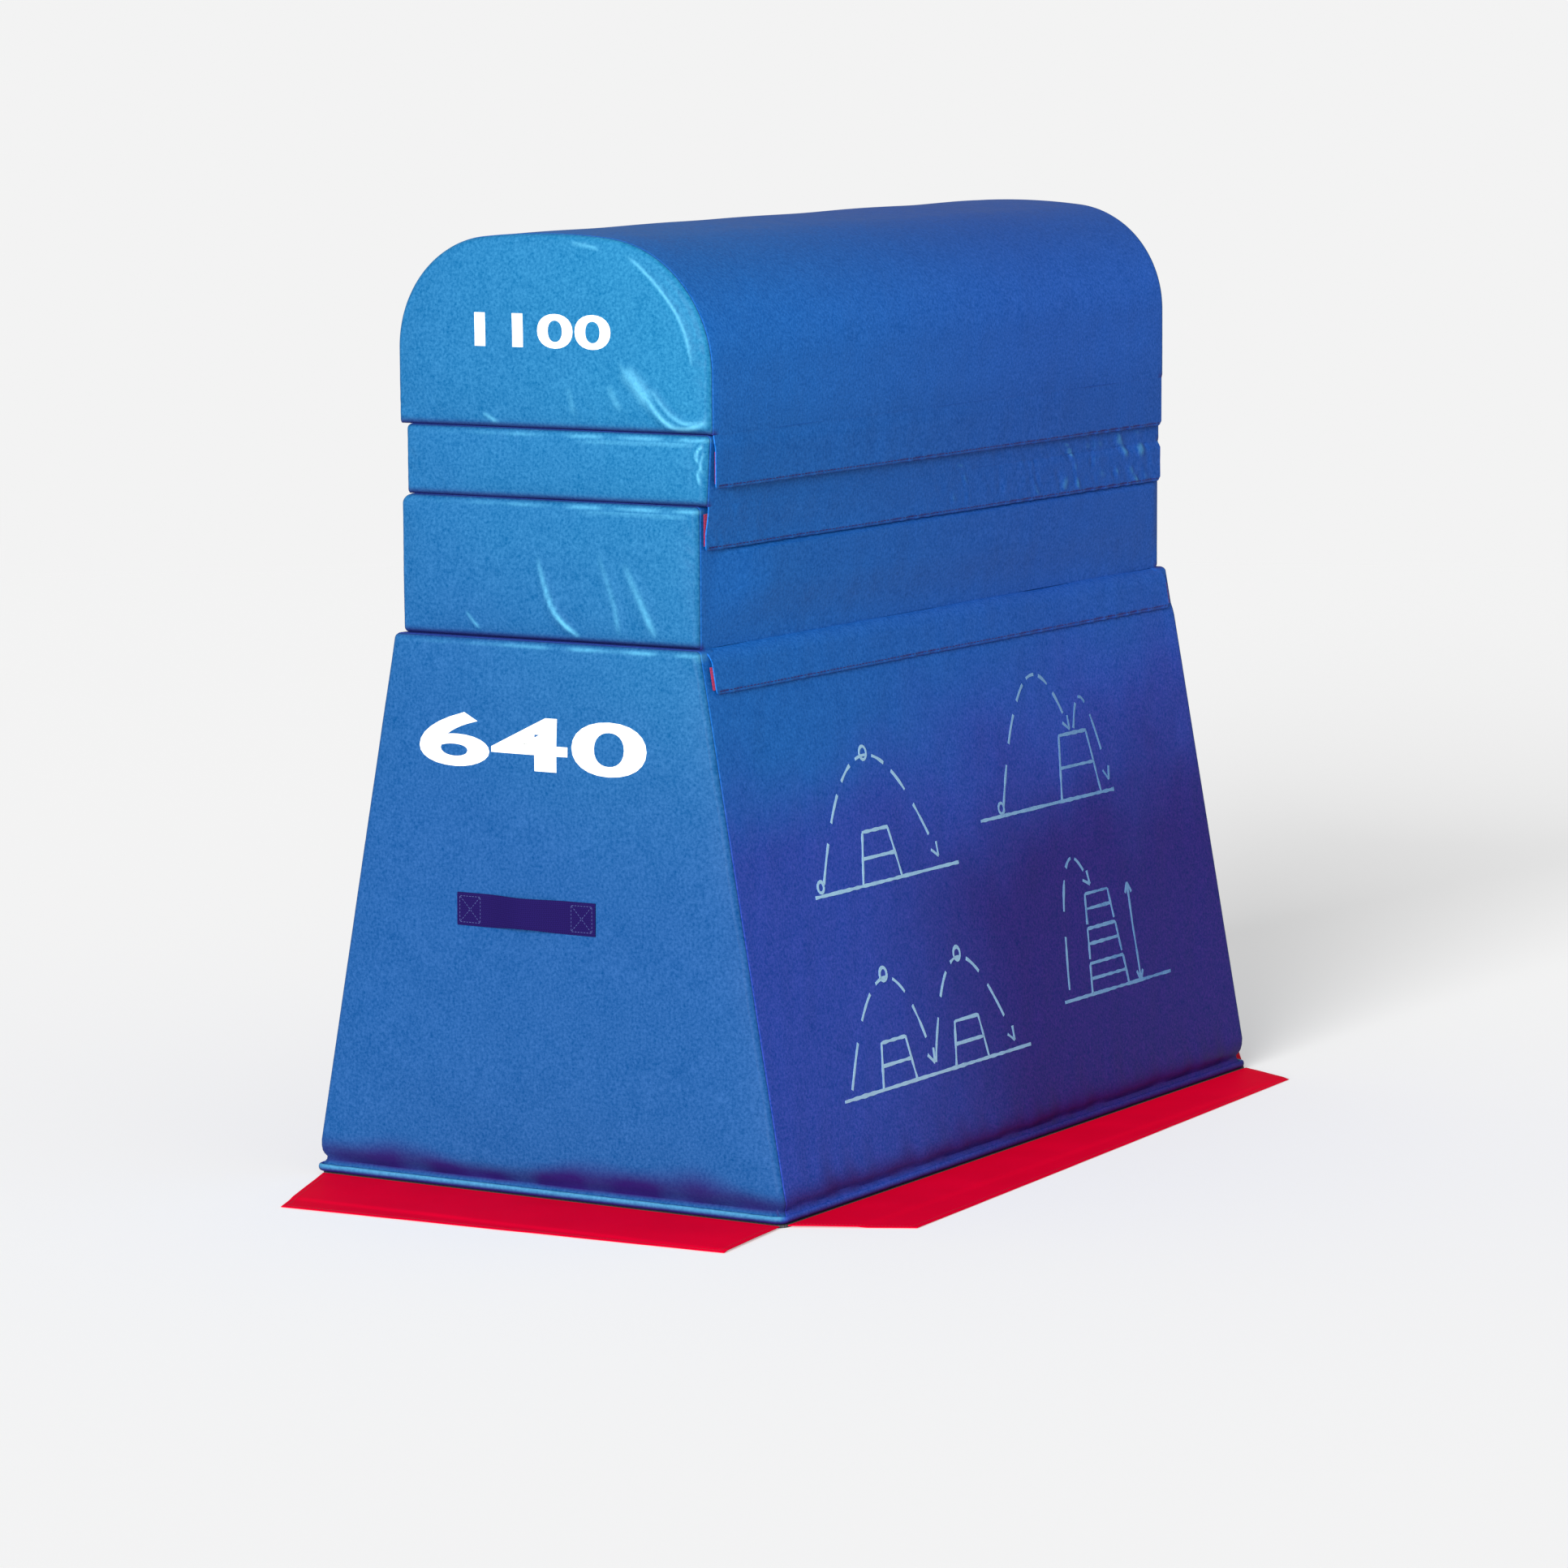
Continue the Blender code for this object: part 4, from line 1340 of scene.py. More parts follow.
    def panel_grid(self, table: Array, ring: Array, end: End) -> tuple[Array, Array]:
        """Fill an end panel with a grid stretched between the four stretches of its rim.

        Args:
            table: the vertices and marks so far.
            ring: the vertex numbers of the rim, from the middle of the foot.
            end: which end.

        Returns:
            The new vertices with their marks, and the new faces.
        """
        across = self.bottom_steps + self.foot_steps // 2
        up = len(ring) // 2 - 2 * across
        foot = np.roll(ring, across)[:2 * across + 1]
        right = np.roll(ring, -across)[:up + 1]
        crest = np.roll(ring, -across - up)[:2 * across + 1][::-1]
        left = np.concatenate([foot[:1], np.roll(ring, across)[::-1][:up]])
        rim = table[:, 1:3]
        u = np.linspace(0.0, 1.0, 2 * across + 1)[:, None, None]
        v = np.linspace(0.0, 1.0, up + 1)[None, :, None]
        a, b = rim[foot][:, None], rim[crest][:, None]
        c, d = rim[left][None], rim[right][None]
        flat = ((1 - v) * a + v * b + (1 - u) * c + u * d
                - (1 - u) * (1 - v) * a[:1] - u * (1 - v) * a[-1:]
                - (1 - u) * v * b[:1] - u * v * b[-1:])
        inner = flat[1:-1, 1:-1].reshape(-1, 2)
        rise, gloss = self.panel_relief(inner[:, 0], inner[:, 1], end)
        x = end.sign * (self.half_length(inner[:, 1]) + rise)
        grid = np.empty((2 * across + 1, up + 1), int)
        grid[:, 0], grid[:, -1], grid[0, :], grid[-1, :] = foot, crest, left, right
        grid[1:-1, 1:-1] = len(table) + np.arange(len(inner)).reshape(2 * across - 1, up - 1)
        one, none = np.ones(len(inner)), np.zeros(len(inner))
        return np.column_stack([x, inner, one, none, gloss]), strip_faces(grid)

    def core(self, material: Material) -> Piece:
        """The foam core, a plain copy of the block a little smaller all round.

        Args:
            material: its finish.

        Returns:
            The core.
        """
        gap = 0.016
        ring, _ = self.loop(gap, gap + 0.002)
        reach = self.half_length(ring[:, 1]) - gap
        middle = np.array([0.0, (self.bottom + self.top) / 2])
        rows = []
        for share in (-1.0, -0.99, -0.5, 0.0, 0.5, 0.99, 1.0):
            tight = 0.985 if abs(share) == 1.0 else 1.0
            rows.append(np.column_stack([share * reach, (ring - middle) * tight + middle]))
        points = np.concatenate(rows)
        numbers = np.arange(len(points)).reshape(len(rows), -1)
        faces = strip_faces(numbers, closed=True).tolist()
        faces += [numbers[0].tolist(), numbers[-1][::-1].tolist()]
        return from_arrays(f"{self.name}_foam_core", points, faces, material, 38.0)


def around(y: float, z: float, radius: float, turn: Array) -> Array:
    """Points on an arc in (y, z)."""
    return np.stack([y + radius * np.cos(turn), z + radius * np.sin(turn)], 1)


def smooth_least(first: Array, second: Array, soft: float) -> Array:
    """The lesser of two lengths, with no kink where they are equal."""
    share = np.clip(0.5 + 0.5 * (second - first) / soft, 0.0, 1.0)
    return second * (1 - share) + first * share - soft * share * (1 - share)


# Stitches


@dataclass(frozen=True)
class Stitching:
    """Lockstitch: short threads end to end, each one dipping into the cloth."""

    length: float = 0.0056
    gap: float = 0.0016
    thick: float = 0.001

    def prototype(self) -> tuple[Array, Array]:
        """One stitch along X, made from a small sphere that is drawn out.

        Returns:
            Its vertices and its faces as triangles.
        """
        deselect()
        bpy.ops.mesh.primitive_uv_sphere_add(segments=6, ring_count=5, radius=self.thick / 2,
                                             rotation=(0.0, math.pi / 2, 0.0))
        stitch = bpy.context.object
        settle(stitch)
        edit(stitch)
        bpy.ops.mesh.quads_convert_to_tris()
        bpy.ops.transform.resize(value=(self.length / self.thick, 1.0, 0.8))
        bpy.ops.object.mode_set(mode="OBJECT")
        points = vertices_of(stitch)
        faces = np.array([list(face.vertices) for face in stitch.data.polygons])
        points[:, 2] -= 0.1 * self.thick * (2 * points[:, 0] / self.length) ** 4 * 4
        bpy.data.objects.remove(stitch)
        return points, faces

    def sew(self, name: str, runs: Sequence[tuple[Array, Array]],
            material: Material) -> Piece:
        """Lay stitches along runs of points.

        Args:
            name: the piece's name.
            runs: for each seam its points and the outward directions there.
            material: the thread.

        Returns:
            All the stitches as one piece.
        """
        shape, faces = self.prototype()
        clouds, quads = [], []
        for line, out in runs:
            lengths = distances(line)
            count = max(1, int(lengths[-1] / (self.length + self.gap)))
            spots = (np.arange(count) + 0.5) * lengths[-1] / count
            ends = [read_at(spots + shift * self.length / 2, lengths, line) for shift in (-1, 1)]
            normal = unit(read_at(spots, lengths, out))
            ahead = unit(ends[1] - ends[0])
            beside = np.cross(normal, ahead)
            centre = (ends[0] + ends[1]) / 2
            cloud = (centre[:, None] + shape[None, :, :1] * ahead[:, None]
                     + shape[None, :, 1:2] * beside[:, None] + shape[None, :, 2:] * normal[:, None])
            start = sum(len(c) for c in clouds)
            clouds.append(cloud.reshape(-1, 3))
            quads.append((faces[None] + (start + np.arange(count) * len(shape))[:, None, None])
                         .reshape(-1, faces.shape[1]))
        return from_arrays(name, np.concatenate(clouds), np.concatenate(quads), material, 60.0)


# Joint flaps


@dataclass
class JointFlap(Part):
    """The lower edge of a block's long side, carried on as a flap over the block below."""

    block: PaddedBlock
    below: PaddedBlock
    side: Side
    path: Array
    tape_height: float = 0.036
    half_length: float = 0.534
    sheet: float = 0.0015
    corner: float = 0.006
    pitch: float = 0.0044
    stitch_above_hem: float = 0.0032
    groove: float = 0.0005
    curl: float = 0.003
    tape: float = 0.0015
    tape_above_hem: float = 0.0055
    stick: float = -0.001
    steady: float = 0.518

    @property
    def name(self) -> str:
        """The flap's body."""
        return f"{self.side.label}_{self.block.name}_flap"

    @property
    def bent(self) -> bool:
        """Whether it bends round a shoulder, where its path has more than three points."""
        return len(self.path) > 3

    def places(self) -> tuple[Array, Array, Array]:
        """Choose the rows of vertices down the flap.

        Returns:
            Their distances from the hinge, outer points in (y, z), and outward directions.
        """
        length = distances(self.path)
        hem = np.array([6.4, 5.0, 4.3, 3.7, 3.2, 2.7, 2.1, 1.5, 1.0, 0.5, 0.0]) / 1000
        spots = np.concatenate([[0.0, 0.001, 0.0022], np.arange(0.004, length[-1] - 0.0085, 0.0036),
                                length[-1] - hem])
        points = read_at(spots, length, self.path)
        ahead = unit(np.gradient(points, spots, axis=0))
        return spots, points, np.stack([-ahead[:, 1], ahead[:, 0]], 1)

    def lean(self, x: Array, spot: Array, y: Array, z: Array, total: float) -> Array:
        """How far the flap stands out of true: as its own block does at the hinge and as the
        block below does at the hem, but never inside that block's skin.

        Args:
            x: place along the flap.
            spot: distance down from the hinge.
            y: half width there, before it leans.
            z: height.
            total: distance of the hem from the hinge.

        Returns:
            Metres outwards.
        """
        above = self.block.offset(x, self.block.bottom, self.side)
        under = self.under(x)
        clear = 0.014 if self.bent else total - self.tape_above_hem - self.tape_height
        soft = clear if self.bent else max(clear, total * 0.8)
        share = np.where(under > above, smoothstep(0.0, clear, spot), smoothstep(0.0, soft, spot))
        blend = above + (under - above) * share
        if self.bent:
            return blend
        return np.maximum(blend, self.below.beneath(x, z, self.side) + self.sheet + 0.0004 - y)

    def under(self, x: Array) -> Array:
        """How far the flap stands out of true from its tapes down."""
        own = self.block.offset(x, self.block.bottom, self.side) - (0.02 if self.bent else 0.004)
        return np.maximum(self.below.offset(x, self.below.top, self.side), own)

    def skins(self) -> tuple[Array, Array, Array]:
        """Shape the flap's two skins.

        Returns:
            The outer and the inner skin as grids of points, rows down the flap, and the seam's mark of
            painted shade.
        """
        spots, points, normals = self.places()
        total = spots[-1]
        edge = np.maximum(self.corner - (total - spots), 0.0)
        reach = self.half_length - (self.corner - np.sqrt(self.corner ** 2 - edge ** 2))
        count = int(round(2 * self.half_length / self.pitch))
        x = reach[:, None] * np.linspace(-1.0, 1.0, count + 1)
        spot, y, z = spots[:, None], points[:, :1], points[:, 1:]
        pull = seam_pull(x)
        seam = total - self.stitch_above_hem
        dip = self.groove * np.exp(-((spot - seam) / 0.0011) ** 2) * pull
        curl = self.curl * smoothstep(total - 0.0055, total + 0.001, spot) * (0.35 + 0.65 * pull)
        relief = side_relief(x, z) - dip - curl
        lean = self.lean(x, spot, y, z, total)
        outer, inner = (np.stack([x, self.side.sign * (y + lean + (relief - depth) * normals[:, :1]),
                                  z + (relief - depth) * normals[:, 1:]], -1)
                        for depth in (0.0, self.sheet))
        # Painted shade: a dashed dark line in the stitch groove and a dark band on the curled hem.
        mark = np.exp(-((spot - seam) / 0.0011) ** 2) * pull * 0.9
        return outer, inner, np.maximum(mark, smoothstep(total - 0.0016, total, spot) * (0.35 + 0.5 * pull))

    def build(self, finishes: Finishes) -> list[Piece]:
        """Make the flap with its stitches, and the two tapes that hold it.

        Args:
            finishes: the trainer's finishes.

        Returns:
            The pieces.
        """
        outer, inner, mark = self.skins()
        sheet = self.make_sheet(outer, inner, mark, finishes.vinyl)
        spots, _, normals = self.places()
        row = int(np.argmin(np.abs(spots - spots[-1] + self.stitch_above_hem)))
        out = np.tile([0.0, self.side.sign * normals[row, 0], normals[row, 1]], (outer.shape[1] - 2, 1))
        stitches = finishes.hem.sew(f"{self.block.name}_{self.side.label}_flap_stitches",
                                    [(outer[row, 1:-1] + out * 0.0002, out)], finishes.thread)
        hook, loop = self.make_tapes(finishes)
        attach(stitches, self.name)
        fit(sheet, self.name, f"{self.block.name}_flap_{self.side.label}")
        2 * self.half_length
        f"{self.block.name}_cover"
        f"{self.below.name}_loop_{self.side.label}"
        return [sheet, stitches, hook, loop]

    def make_sheet(self, outer: Array, inner: Array, mark: Array,
                   material: Material) -> Piece:
        """The flap's sheet, closed, from its two skins and a rounded hem between them.

        Args:
            outer: the outer skin.
            inner: the inner skin.
            mark: the outer skin's seam mark of painted shade.
            material: its finish.

        Returns:
            The sheet.
        """
        middle = (outer[-1] + inner[-1]) / 2 + unit(outer[-1] - outer[-2]) * self.sheet * 0.4
        points = np.concatenate([outer, middle[None], inner[::-1]])
        rows, columns = points.shape[:2]
        grid = np.arange(rows * columns).reshape(rows, columns)
        faces = strip_faces(np.concatenate([grid, grid[:1]])).tolist()
        count = len(outer)
        for column in (0, -1):
            line = grid[:, column]
            faces += strip_faces(np.stack([line[:count], line[:count:-1]])).tolist()
            faces.append(line[count - 1:count + 2].tolist())
        # Painted shade along the stitch line and the hem, on the outer skin only.
        marks = np.concatenate([mark, mark[-1:], np.zeros_like(mark)]).ravel()
        zero = np.zeros(len(marks))
        # Painted highlight on the wrinkles' crests.
        shine = wrinkle_shine(points[..., 0], points[..., 2]).ravel()
        return from_arrays(f"{self.block.name}_{self.side.label}_flap_sheet", points.reshape(-1, 3), faces,
                           material, 42.0, {"panel": zero, "crease": shine, "seam": marks})

    def make_tapes(self, finishes: Finishes) -> list[Piece]:
        """The hook tape inside the flap and the loop tape on the block below it.

        Args:
            finishes: the trainer's finishes.

        Returns:
            The hook tape and the loop tape.
        """
        hem = self.path[-1]
        up = unit(self.path[-2] - hem)
        inward = np.array([-up[1], up[0]])
        tilt = -self.side.sign * math.atan2(up[0], up[1])
        gap = 0.0003
        made = []
        for kind, depth, material in (("hook", self.sheet + gap, finishes.hook),
                                      ("loop", self.sheet + self.tape + 2 * gap, finishes.loop)):
            hook = kind == "hook"
            owner = self.block if hook else self.below
            middle = (hem + up * (self.tape_above_hem + self.tape_height / 2)
                      + inward * (depth + self.tape / 2))
            strip = TapeStrip(f"{owner.name}_{self.side.label}_{kind}_tape",
                              2 * (self.half_length + self.stick), self.tape_height, self.tape,
                              raised=-1 if hook else 1)
            place = Matrix.Translation((0.0, self.side.sign * middle[0], middle[1]))
            piece = strip.build(place @ Matrix.Rotation(tilt, 4, "X"), self.side.sign, material)
            spots = vertices_of(piece)
            x = np.clip(spots[:, 0], -self.steady, self.steady)
            shift = self.under(x) if hook else self.below.offset(x, self.below.top, self.side)
            spots[:, 0] *= 1.0 if hook else 0.975
            spots[:, 1] += self.side.sign * shift
            move_vertices(piece, spots)
            node = f"{owner.name}_flap_hook" if hook else f"{owner.name}_loop"
            fit(piece, self.name if hook else owner.name, f"{node}_{self.side.label}")
            made.append(piece)
        return made


def foot_lean(x: Array, y: Array) -> Array:
    """How far out the seam round the base's foot is drawn at its front left corner."""
    return 0.0075 * smoothstep(-0.505, -0.555, x) * smoothstep(0.0, 0.25, y)


def seam_pull(x: Array) -> Array:
    """How tight a seam's thread is along it, from 0 to 1, in uneven stretches."""
    beat = np.sin(2 * math.pi * (x + 0.004 * drift(x, x * 0, 0.11, 77)) / 0.031)
    some = 0.55 + 0.45 * drift(x, x * 0, 0.19, 78)
    return smoothstep(-0.55, 0.15, beat) * np.clip(some, 0.25, 1.0)


@dataclass(frozen=True)
class TapeStrip:
    """A strip of hook or loop tape: a woven ground with plain edges and a raised pile field."""

    name: str
    length: float
    height: float
    thickness: float
    raised: int = 1
    selvedge: float = 0.0025
    ground: float = 0.5

    def build(self, place: Matrix, sign: int, material: Material) -> Piece:
        """Shape the strip by hand and put it in place.

        Args:
            place: turns and moves it from the origin, where it lies along X with its face to Y.
            sign: the long side's sign of Y.
            material: its finish.

        Returns:
            The strip.
        """
        facing = sign * self.raised
        deselect()
        bpy.ops.mesh.primitive_cube_add(size=1.0)
        piece = bpy.context.object
        piece.name = piece.data.name = self.name
        piece.scale = (self.length, self.thickness * self.ground, self.height)
        piece.location = (0.0, -facing * self.thickness * (1 - self.ground) / 2, 0.0)
        settle(piece)
        bpy.ops.object.mode_set(mode="EDIT")
        bpy.ops.mesh.select_all(action="DESELECT")
        mesh = bmesh.from_edit_mesh(piece.data)
        for face in mesh.faces:
            face.select_set(face.normal.y * facing > 0.9)
        bmesh.update_edit_mesh(piece.data)
        bpy.ops.mesh.inset(thickness=self.selvedge)
        bpy.ops.mesh.extrude_region_move(
            TRANSFORM_OT_translate={"value": (0.0, facing * self.thickness * (1 - self.ground), 0.0)})
        bpy.ops.mesh.select_all(action="SELECT")
        bpy.ops.mesh.bevel(offset=0.00022, segments=2, affect="EDGES")
        slice_up(0, np.linspace(-0.5, 0.5, 19)[1:-1] * self.length)
        bpy.ops.object.mode_set(mode="OBJECT")
        piece.data.transform(place)
        piece.data.materials.append(material)
        shade(piece)
        return piece


# Floor flaps


@dataclass
class FloorFlap(Part):
    """A red sheet that lies on the floor along one edge of the base."""

    name: str
    edge: float
    corner: float
    turn: float
    reaches: Point
    insets: Point
    mitres: Point
    sheet: float = 0.0012
    top: float = 0.003
    pitch: float = 0.008
    tape_width: float = 0.05
    tape_margin: float = 0.012
    tape_end: float = 0.06
    tape: float = 0.0015

    def corners(self) -> Array:
        """The cut's corners, drawn with +Y outwards: hinge left and right, edge right and left."""
        inner = (self.insets[0] - self.corner, self.corner - self.insets[1])
        outer = (inner[0] + self.mitres[0], inner[1] - self.mitres[1])
        return np.array([[inner[0], 0.0], [inner[1], 0.0], [outer[1], self.reaches[1]],
                         [outer[0], self.reaches[0]]])

    def turned(self, points: Array) -> Array:
        """Points drawn with +Y outwards, turned into place beside the base."""
        cos, sin = math.cos(self.turn), math.sin(self.turn)
        x, y = points[:, 0], points[:, 1] + self.edge + 0.0003
        return np.column_stack([x * cos - y * sin, x * sin + y * cos, points[:, 2]])

    def at(self, u: Array, v: Array) -> Array:
        """The sheet's top, lying on its tape and then the floor.

        Args:
            u: shares along the edge.
            v: shares outwards.

        Returns:
            Points drawn with +Y outwards.
        """
        a, b, c, d = self.corners()
        u, v = u[..., None], v[..., None]
        flat = (1 - u) * ((1 - v) * a + v * d) + u * ((1 - v) * b + v * c)
        x, y = flat[..., 0], flat[..., 1]
        far = min(self.reaches) - self.tape_margin
        past = smoothstep(far, far + 0.011, y)
        wave = 0.00026 * drift(x, y, 0.13, 60 + len(self.name)) * smoothstep(0.006, 0.03, y)
        return np.stack([x, y, self.top - 0.0012 * past + wave * (1.0 - 0.5 * past)], -1)

    def build(self, finishes: Finishes) -> list[Piece]:
        """Make the sheet, its edge stitching and the hook tape under it.

        Args:
            finishes: the trainer's finishes.

        Returns:
            The pieces.
        """
        a, b, c, d = self.corners()
        width, reach = (b - a)[0], max(self.reaches)
        u = np.concatenate([[0.0, 0.0012], np.linspace(0.006, 0.994, int(width / self.pitch)), [0.9988, 1.0]])
        v = np.concatenate([[0.0, 0.008], np.linspace(0.04, 0.96, int(reach / 0.005)), [0.992, 1.0]])
        u, v = np.meshgrid(u, v, indexing="ij")
        rim = np.minimum(np.minimum(u, 1 - u) * width, (1 - v) * reach).ravel()
        thin = np.exp(-rim / 0.0006)
        upper = self.at(u, v).reshape(-1, 3)
        lower = upper.copy()
        upper[:, 2] -= 0.00025 * thin
        lower[:, 2] -= self.sheet - 0.00015 * thin
        piece = from_arrays(f"floor_flap_{self.name}_sheet", self.turned(np.concatenate([upper, lower])),
                            slab_faces(*u.shape), finishes.floor_flap, 50.0)
        stitches = self.make_stitches(finishes)
        tape = self.make_tape(finishes.hook)
        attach(stitches, f"{self.name}_floor_flap")
        fit(piece, f"{self.name}_floor_flap", f"floor_flap_{self.name}")
        cut = self.corners()
        area = abs(sum(p[0] * q[1] - q[0] * p[1] for p, q in zip(cut, np.roll(cut, -1, 0)))) / 2
        f"floor_flap_hook_{self.name}"
        return [piece, stitches, tape]

    def make_stitches(self, finishes: Finishes) -> Piece:
        """One run of stitches inside the sheet's two ends and its outer edge.

        Args:
            finishes: the trainer's finishes.

        Returns:
            The stitches.
        """
        a, b = self.corners()[:2]
        beside, out = 0.007 / (b - a)[0], 1.0 - 0.007 / max(self.reaches)
        turns = [(beside, 0.03), (beside, out), (1.0 - beside, out), (1.0 - beside, 0.03)]
        runs = []
        for start, stop in zip(turns[:-1], turns[1:]):
            share = np.linspace(0.0, 1.0, 161)[:, None]
            line = np.array(start) * (1 - share) + np.array(stop) * share
            placed = self.turned(self.at(line[:, 0], line[:, 1]) + [0.0, 0.0, 0.0001])
            runs.append((placed, np.tile([0.0, 0.0, 1.0], (len(placed), 1))))
        return finishes.fine.sew(f"floor_flap_{self.name}_stitches", runs, finishes.red_thread)

    def make_tape(self, material: Material) -> Piece:
        """The hook tape that grips a mat under the flap.

        Args:
            material: its finish.

        Returns:
            The tape.
        """
        cut = self.corners()
        left = max(cut[0, 0], cut[3, 0]) + self.tape_end
        right = min(cut[1, 0], cut[2, 0]) - self.tape_end
        strip = TapeStrip(f"floor_flap_{self.name}_hook_tape", right - left, self.tape_width, self.tape,
                          raised=-1)
        out = min(self.reaches) - self.tape_margin - self.tape_width / 2 + self.edge + 0.0003
        place = (Matrix.Rotation(self.turn, 4, "Z") @ Matrix.Translation(((left + right) / 2, out,
                                                                          self.tape / 2))
                 @ Matrix.Rotation(math.pi / 2, 4, "X"))
        piece = strip.build(place, 1, material)
        fit(piece, f"{self.name}_floor_flap", f"floor_flap_hook_{self.name}")
        return piece


# Base trim


@dataclass
class Piping(Part):
    """The vinyl piping sewn into the seam round the base's foot."""

    half_x: float = 0.5694057
    half_y: float = 0.3138028
    corner: float = 0.0114
    radius: float = 0.0027
    tall: float = 0.0043
    height: float = 0.0083

    def line(self) -> Array:
        """The piping's route, a rectangle with round corners, at an even pitch.

        Returns:
            Points in (x, y).
        """
        turns = []
        for sx, sy, start in ((1, 1, 0.0), (-1, 1, 0.5), (-1, -1, 1.0), (1, -1, 1.5)):
            angle = (start + np.linspace(0.0, 0.5, 9)) * math.pi
            turns.append(around(sx * (self.half_x - self.corner), sy * (self.half_y - self.corner),
                                self.corner, angle))
        route = np.concatenate(turns + [turns[0][:1]])
        return resample(route, 0.004)[:-1]

    def build(self, finishes: Finishes) -> list[Piece]:
        """Sweep the piping, with its cord showing as faint swellings.

        Args:
            finishes: the trainer's finishes.

        Returns:
            The pieces.
        """
        route = self.line()
        ahead = unit(np.roll(route, -1, 0) - np.roll(route, 1, 0))
        out = np.stack([ahead[:, 1], -ahead[:, 0]], 1)
        turn = np.linspace(0, 2 * math.pi, 13)[:-1]
        x, y = route.T
        swell = 1.0 - 0.05 * np.clip(drift(x, y, 0.035, 90), -1.2, 1.2)[:, None] ** 2
        side = out[:, None, :] * (self.radius * swell * np.cos(turn))[..., None]
        rise = self.height + self.tall * swell * np.sin(turn)
        points = np.concatenate([route[:, None, :] + side, rise[..., None]], 2)
        points[..., 1] += foot_lean(points[..., 0], points[..., 1])
        grid = np.arange(points.shape[0] * len(turn)).reshape(points.shape[:2])
        faces = strip_faces(np.concatenate([grid, grid[:1]]), closed=True)
        # Painted shade under the piping, and a painted highlight along its top where it runs across the ends.
        foot = np.tile(np.clip((-np.sin(turn) + 0.15) * 1.6, 0.0, 1.0), len(route))
        panel = np.repeat(smoothstep(0.3, 0.8, np.abs(out[:, 0])), len(turn))
        crest = np.tile(np.maximum(np.sin(turn + 0.4), 0.0) * 0.45, len(route)) * panel
        piece = from_arrays("base_foot_piping", points.reshape(-1, 3), faces, finishes.vinyl, 60.0,
                            {"panel": panel, "crease": crest, "seam": foot})
        fit(piece, "base", "base_piping")
        return [piece]


@dataclass
class Handle(Part):
    """A webbing carrying handle, sewn down at both ends with a box and a cross."""

    end: End
    base: PaddedBlock
    width: float = 0.038
    thickness: float = 0.0018
    length: float = 0.188
    pad: float = 0.036
    bow: float = 0.0095
    height: float = 0.329
    off_centre: float = 0.025

    def build(self, finishes: Finishes) -> list[Piece]:
        """Make the strap and its stitching.

        Args:
            finishes: the trainer's finishes.

        Returns:
            The pieces.
        """
        half = self.length / 2
        along = np.concatenate([np.linspace(-half, -half + self.pad, 13)[:-1],
                                np.linspace(-half + self.pad, half - self.pad, 41),
                                np.linspace(half - self.pad, half, 13)[1:]])
        across = np.linspace(-1.0, 1.0, 15) * self.width / 2
        s, t = np.meshgrid(along, across, indexing="ij")
        inner = self.surface(s, t)
        outer = inner + self.end.sign * self.thickness * self.plump(t, s)
        y = s + self.off_centre
        z = self.height + t + self.sag(s, t)
        upper = np.column_stack([outer.ravel(), y.ravel(), z.ravel()])
        lower = np.column_stack([inner.ravel(), y.ravel(), z.ravel()])
        strap = from_arrays(f"handle_{self.end.label}_strap", np.concatenate([upper, lower]),
                            slab_faces(*s.shape), finishes.webbing, 50.0)
        stitches = self.make_stitches(finishes)
        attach(stitches, "base")
        fit(strap, "base", f"handle_{self.end.label}")
        return [strap, stitches]

    def plump(self, t: Array, s: Array) -> Array:
        """The strap's thickness share, thinner at its woven edges and its cut ends."""
        edge = 1.0 - 0.45 * np.exp(-(self.width / 2 - np.abs(t)) / 0.0012)
        return edge * (1.0 - 0.25 * np.exp(-(self.length / 2 - np.abs(s)) / 0.0012))

    def sag(self, s: Array, t: Array) -> Array:
        """How the strap's free middle is drawn up along its lower edge."""
        span = self.length / 2 - self.pad
        free = np.where(np.abs(s) < span, np.cos(math.pi * s / (2 * span)) ** 2, 0.0)
        return 0.0032 * free * (0.5 - t / self.width)

    def surface(self, s: Array, t: Array) -> Array:
        """X of the strap's inner face: on the end panel at its pads and bowed off it between them.

        Args:
            s: place along the strap.
            t: place across it.

        Returns:
            X, in metres.
        """
        span = self.length / 2 - self.pad
        free = np.where(np.abs(s) < span, (1 + np.cos(math.pi * s / span)) / 2, 0.0)
        slack = 1.0 - 0.22 * (t / self.width) + 0.05 * drift(s, t, 0.05, 17)
        x = self.base.end_surface(s + self.off_centre, self.height + t, self.end)
        return x + self.end.sign * (0.0003 + self.bow * free * slack)

    def make_stitches(self, finishes: Finishes) -> Piece:
        """A box with a cross on each sewn end.

        Args:
            finishes: the trainer's finishes.

        Returns:
            The stitches.
        """
        runs = []
        half = self.length / 2
        for side in (-1, 1):
            near, far = side * (half - self.pad + 0.004), side * (half - 0.004)
            low, high = -self.width / 2 + 0.004, self.width / 2 - 0.004
            box = [(near, low), (far, low), (far, high), (near, high), (near, low)]
            for start, stop in list(zip(box[:-1], box[1:])) + [(box[0], box[2]), (box[1], box[3])]:
                line = resample([start, stop], 0.003)
                s, t = line.T
                x = self.surface(s, t) + self.end.sign * (self.thickness + 0.0001)
                points = np.column_stack([x, s + self.off_centre, self.height + t])
                runs.append((points, np.tile([float(self.end.sign), 0.0, 0.0], (len(points), 1))))
        return finishes.fine.sew(f"handle_{self.end.label}_stitches", runs, finishes.pale_thread)


# Prints


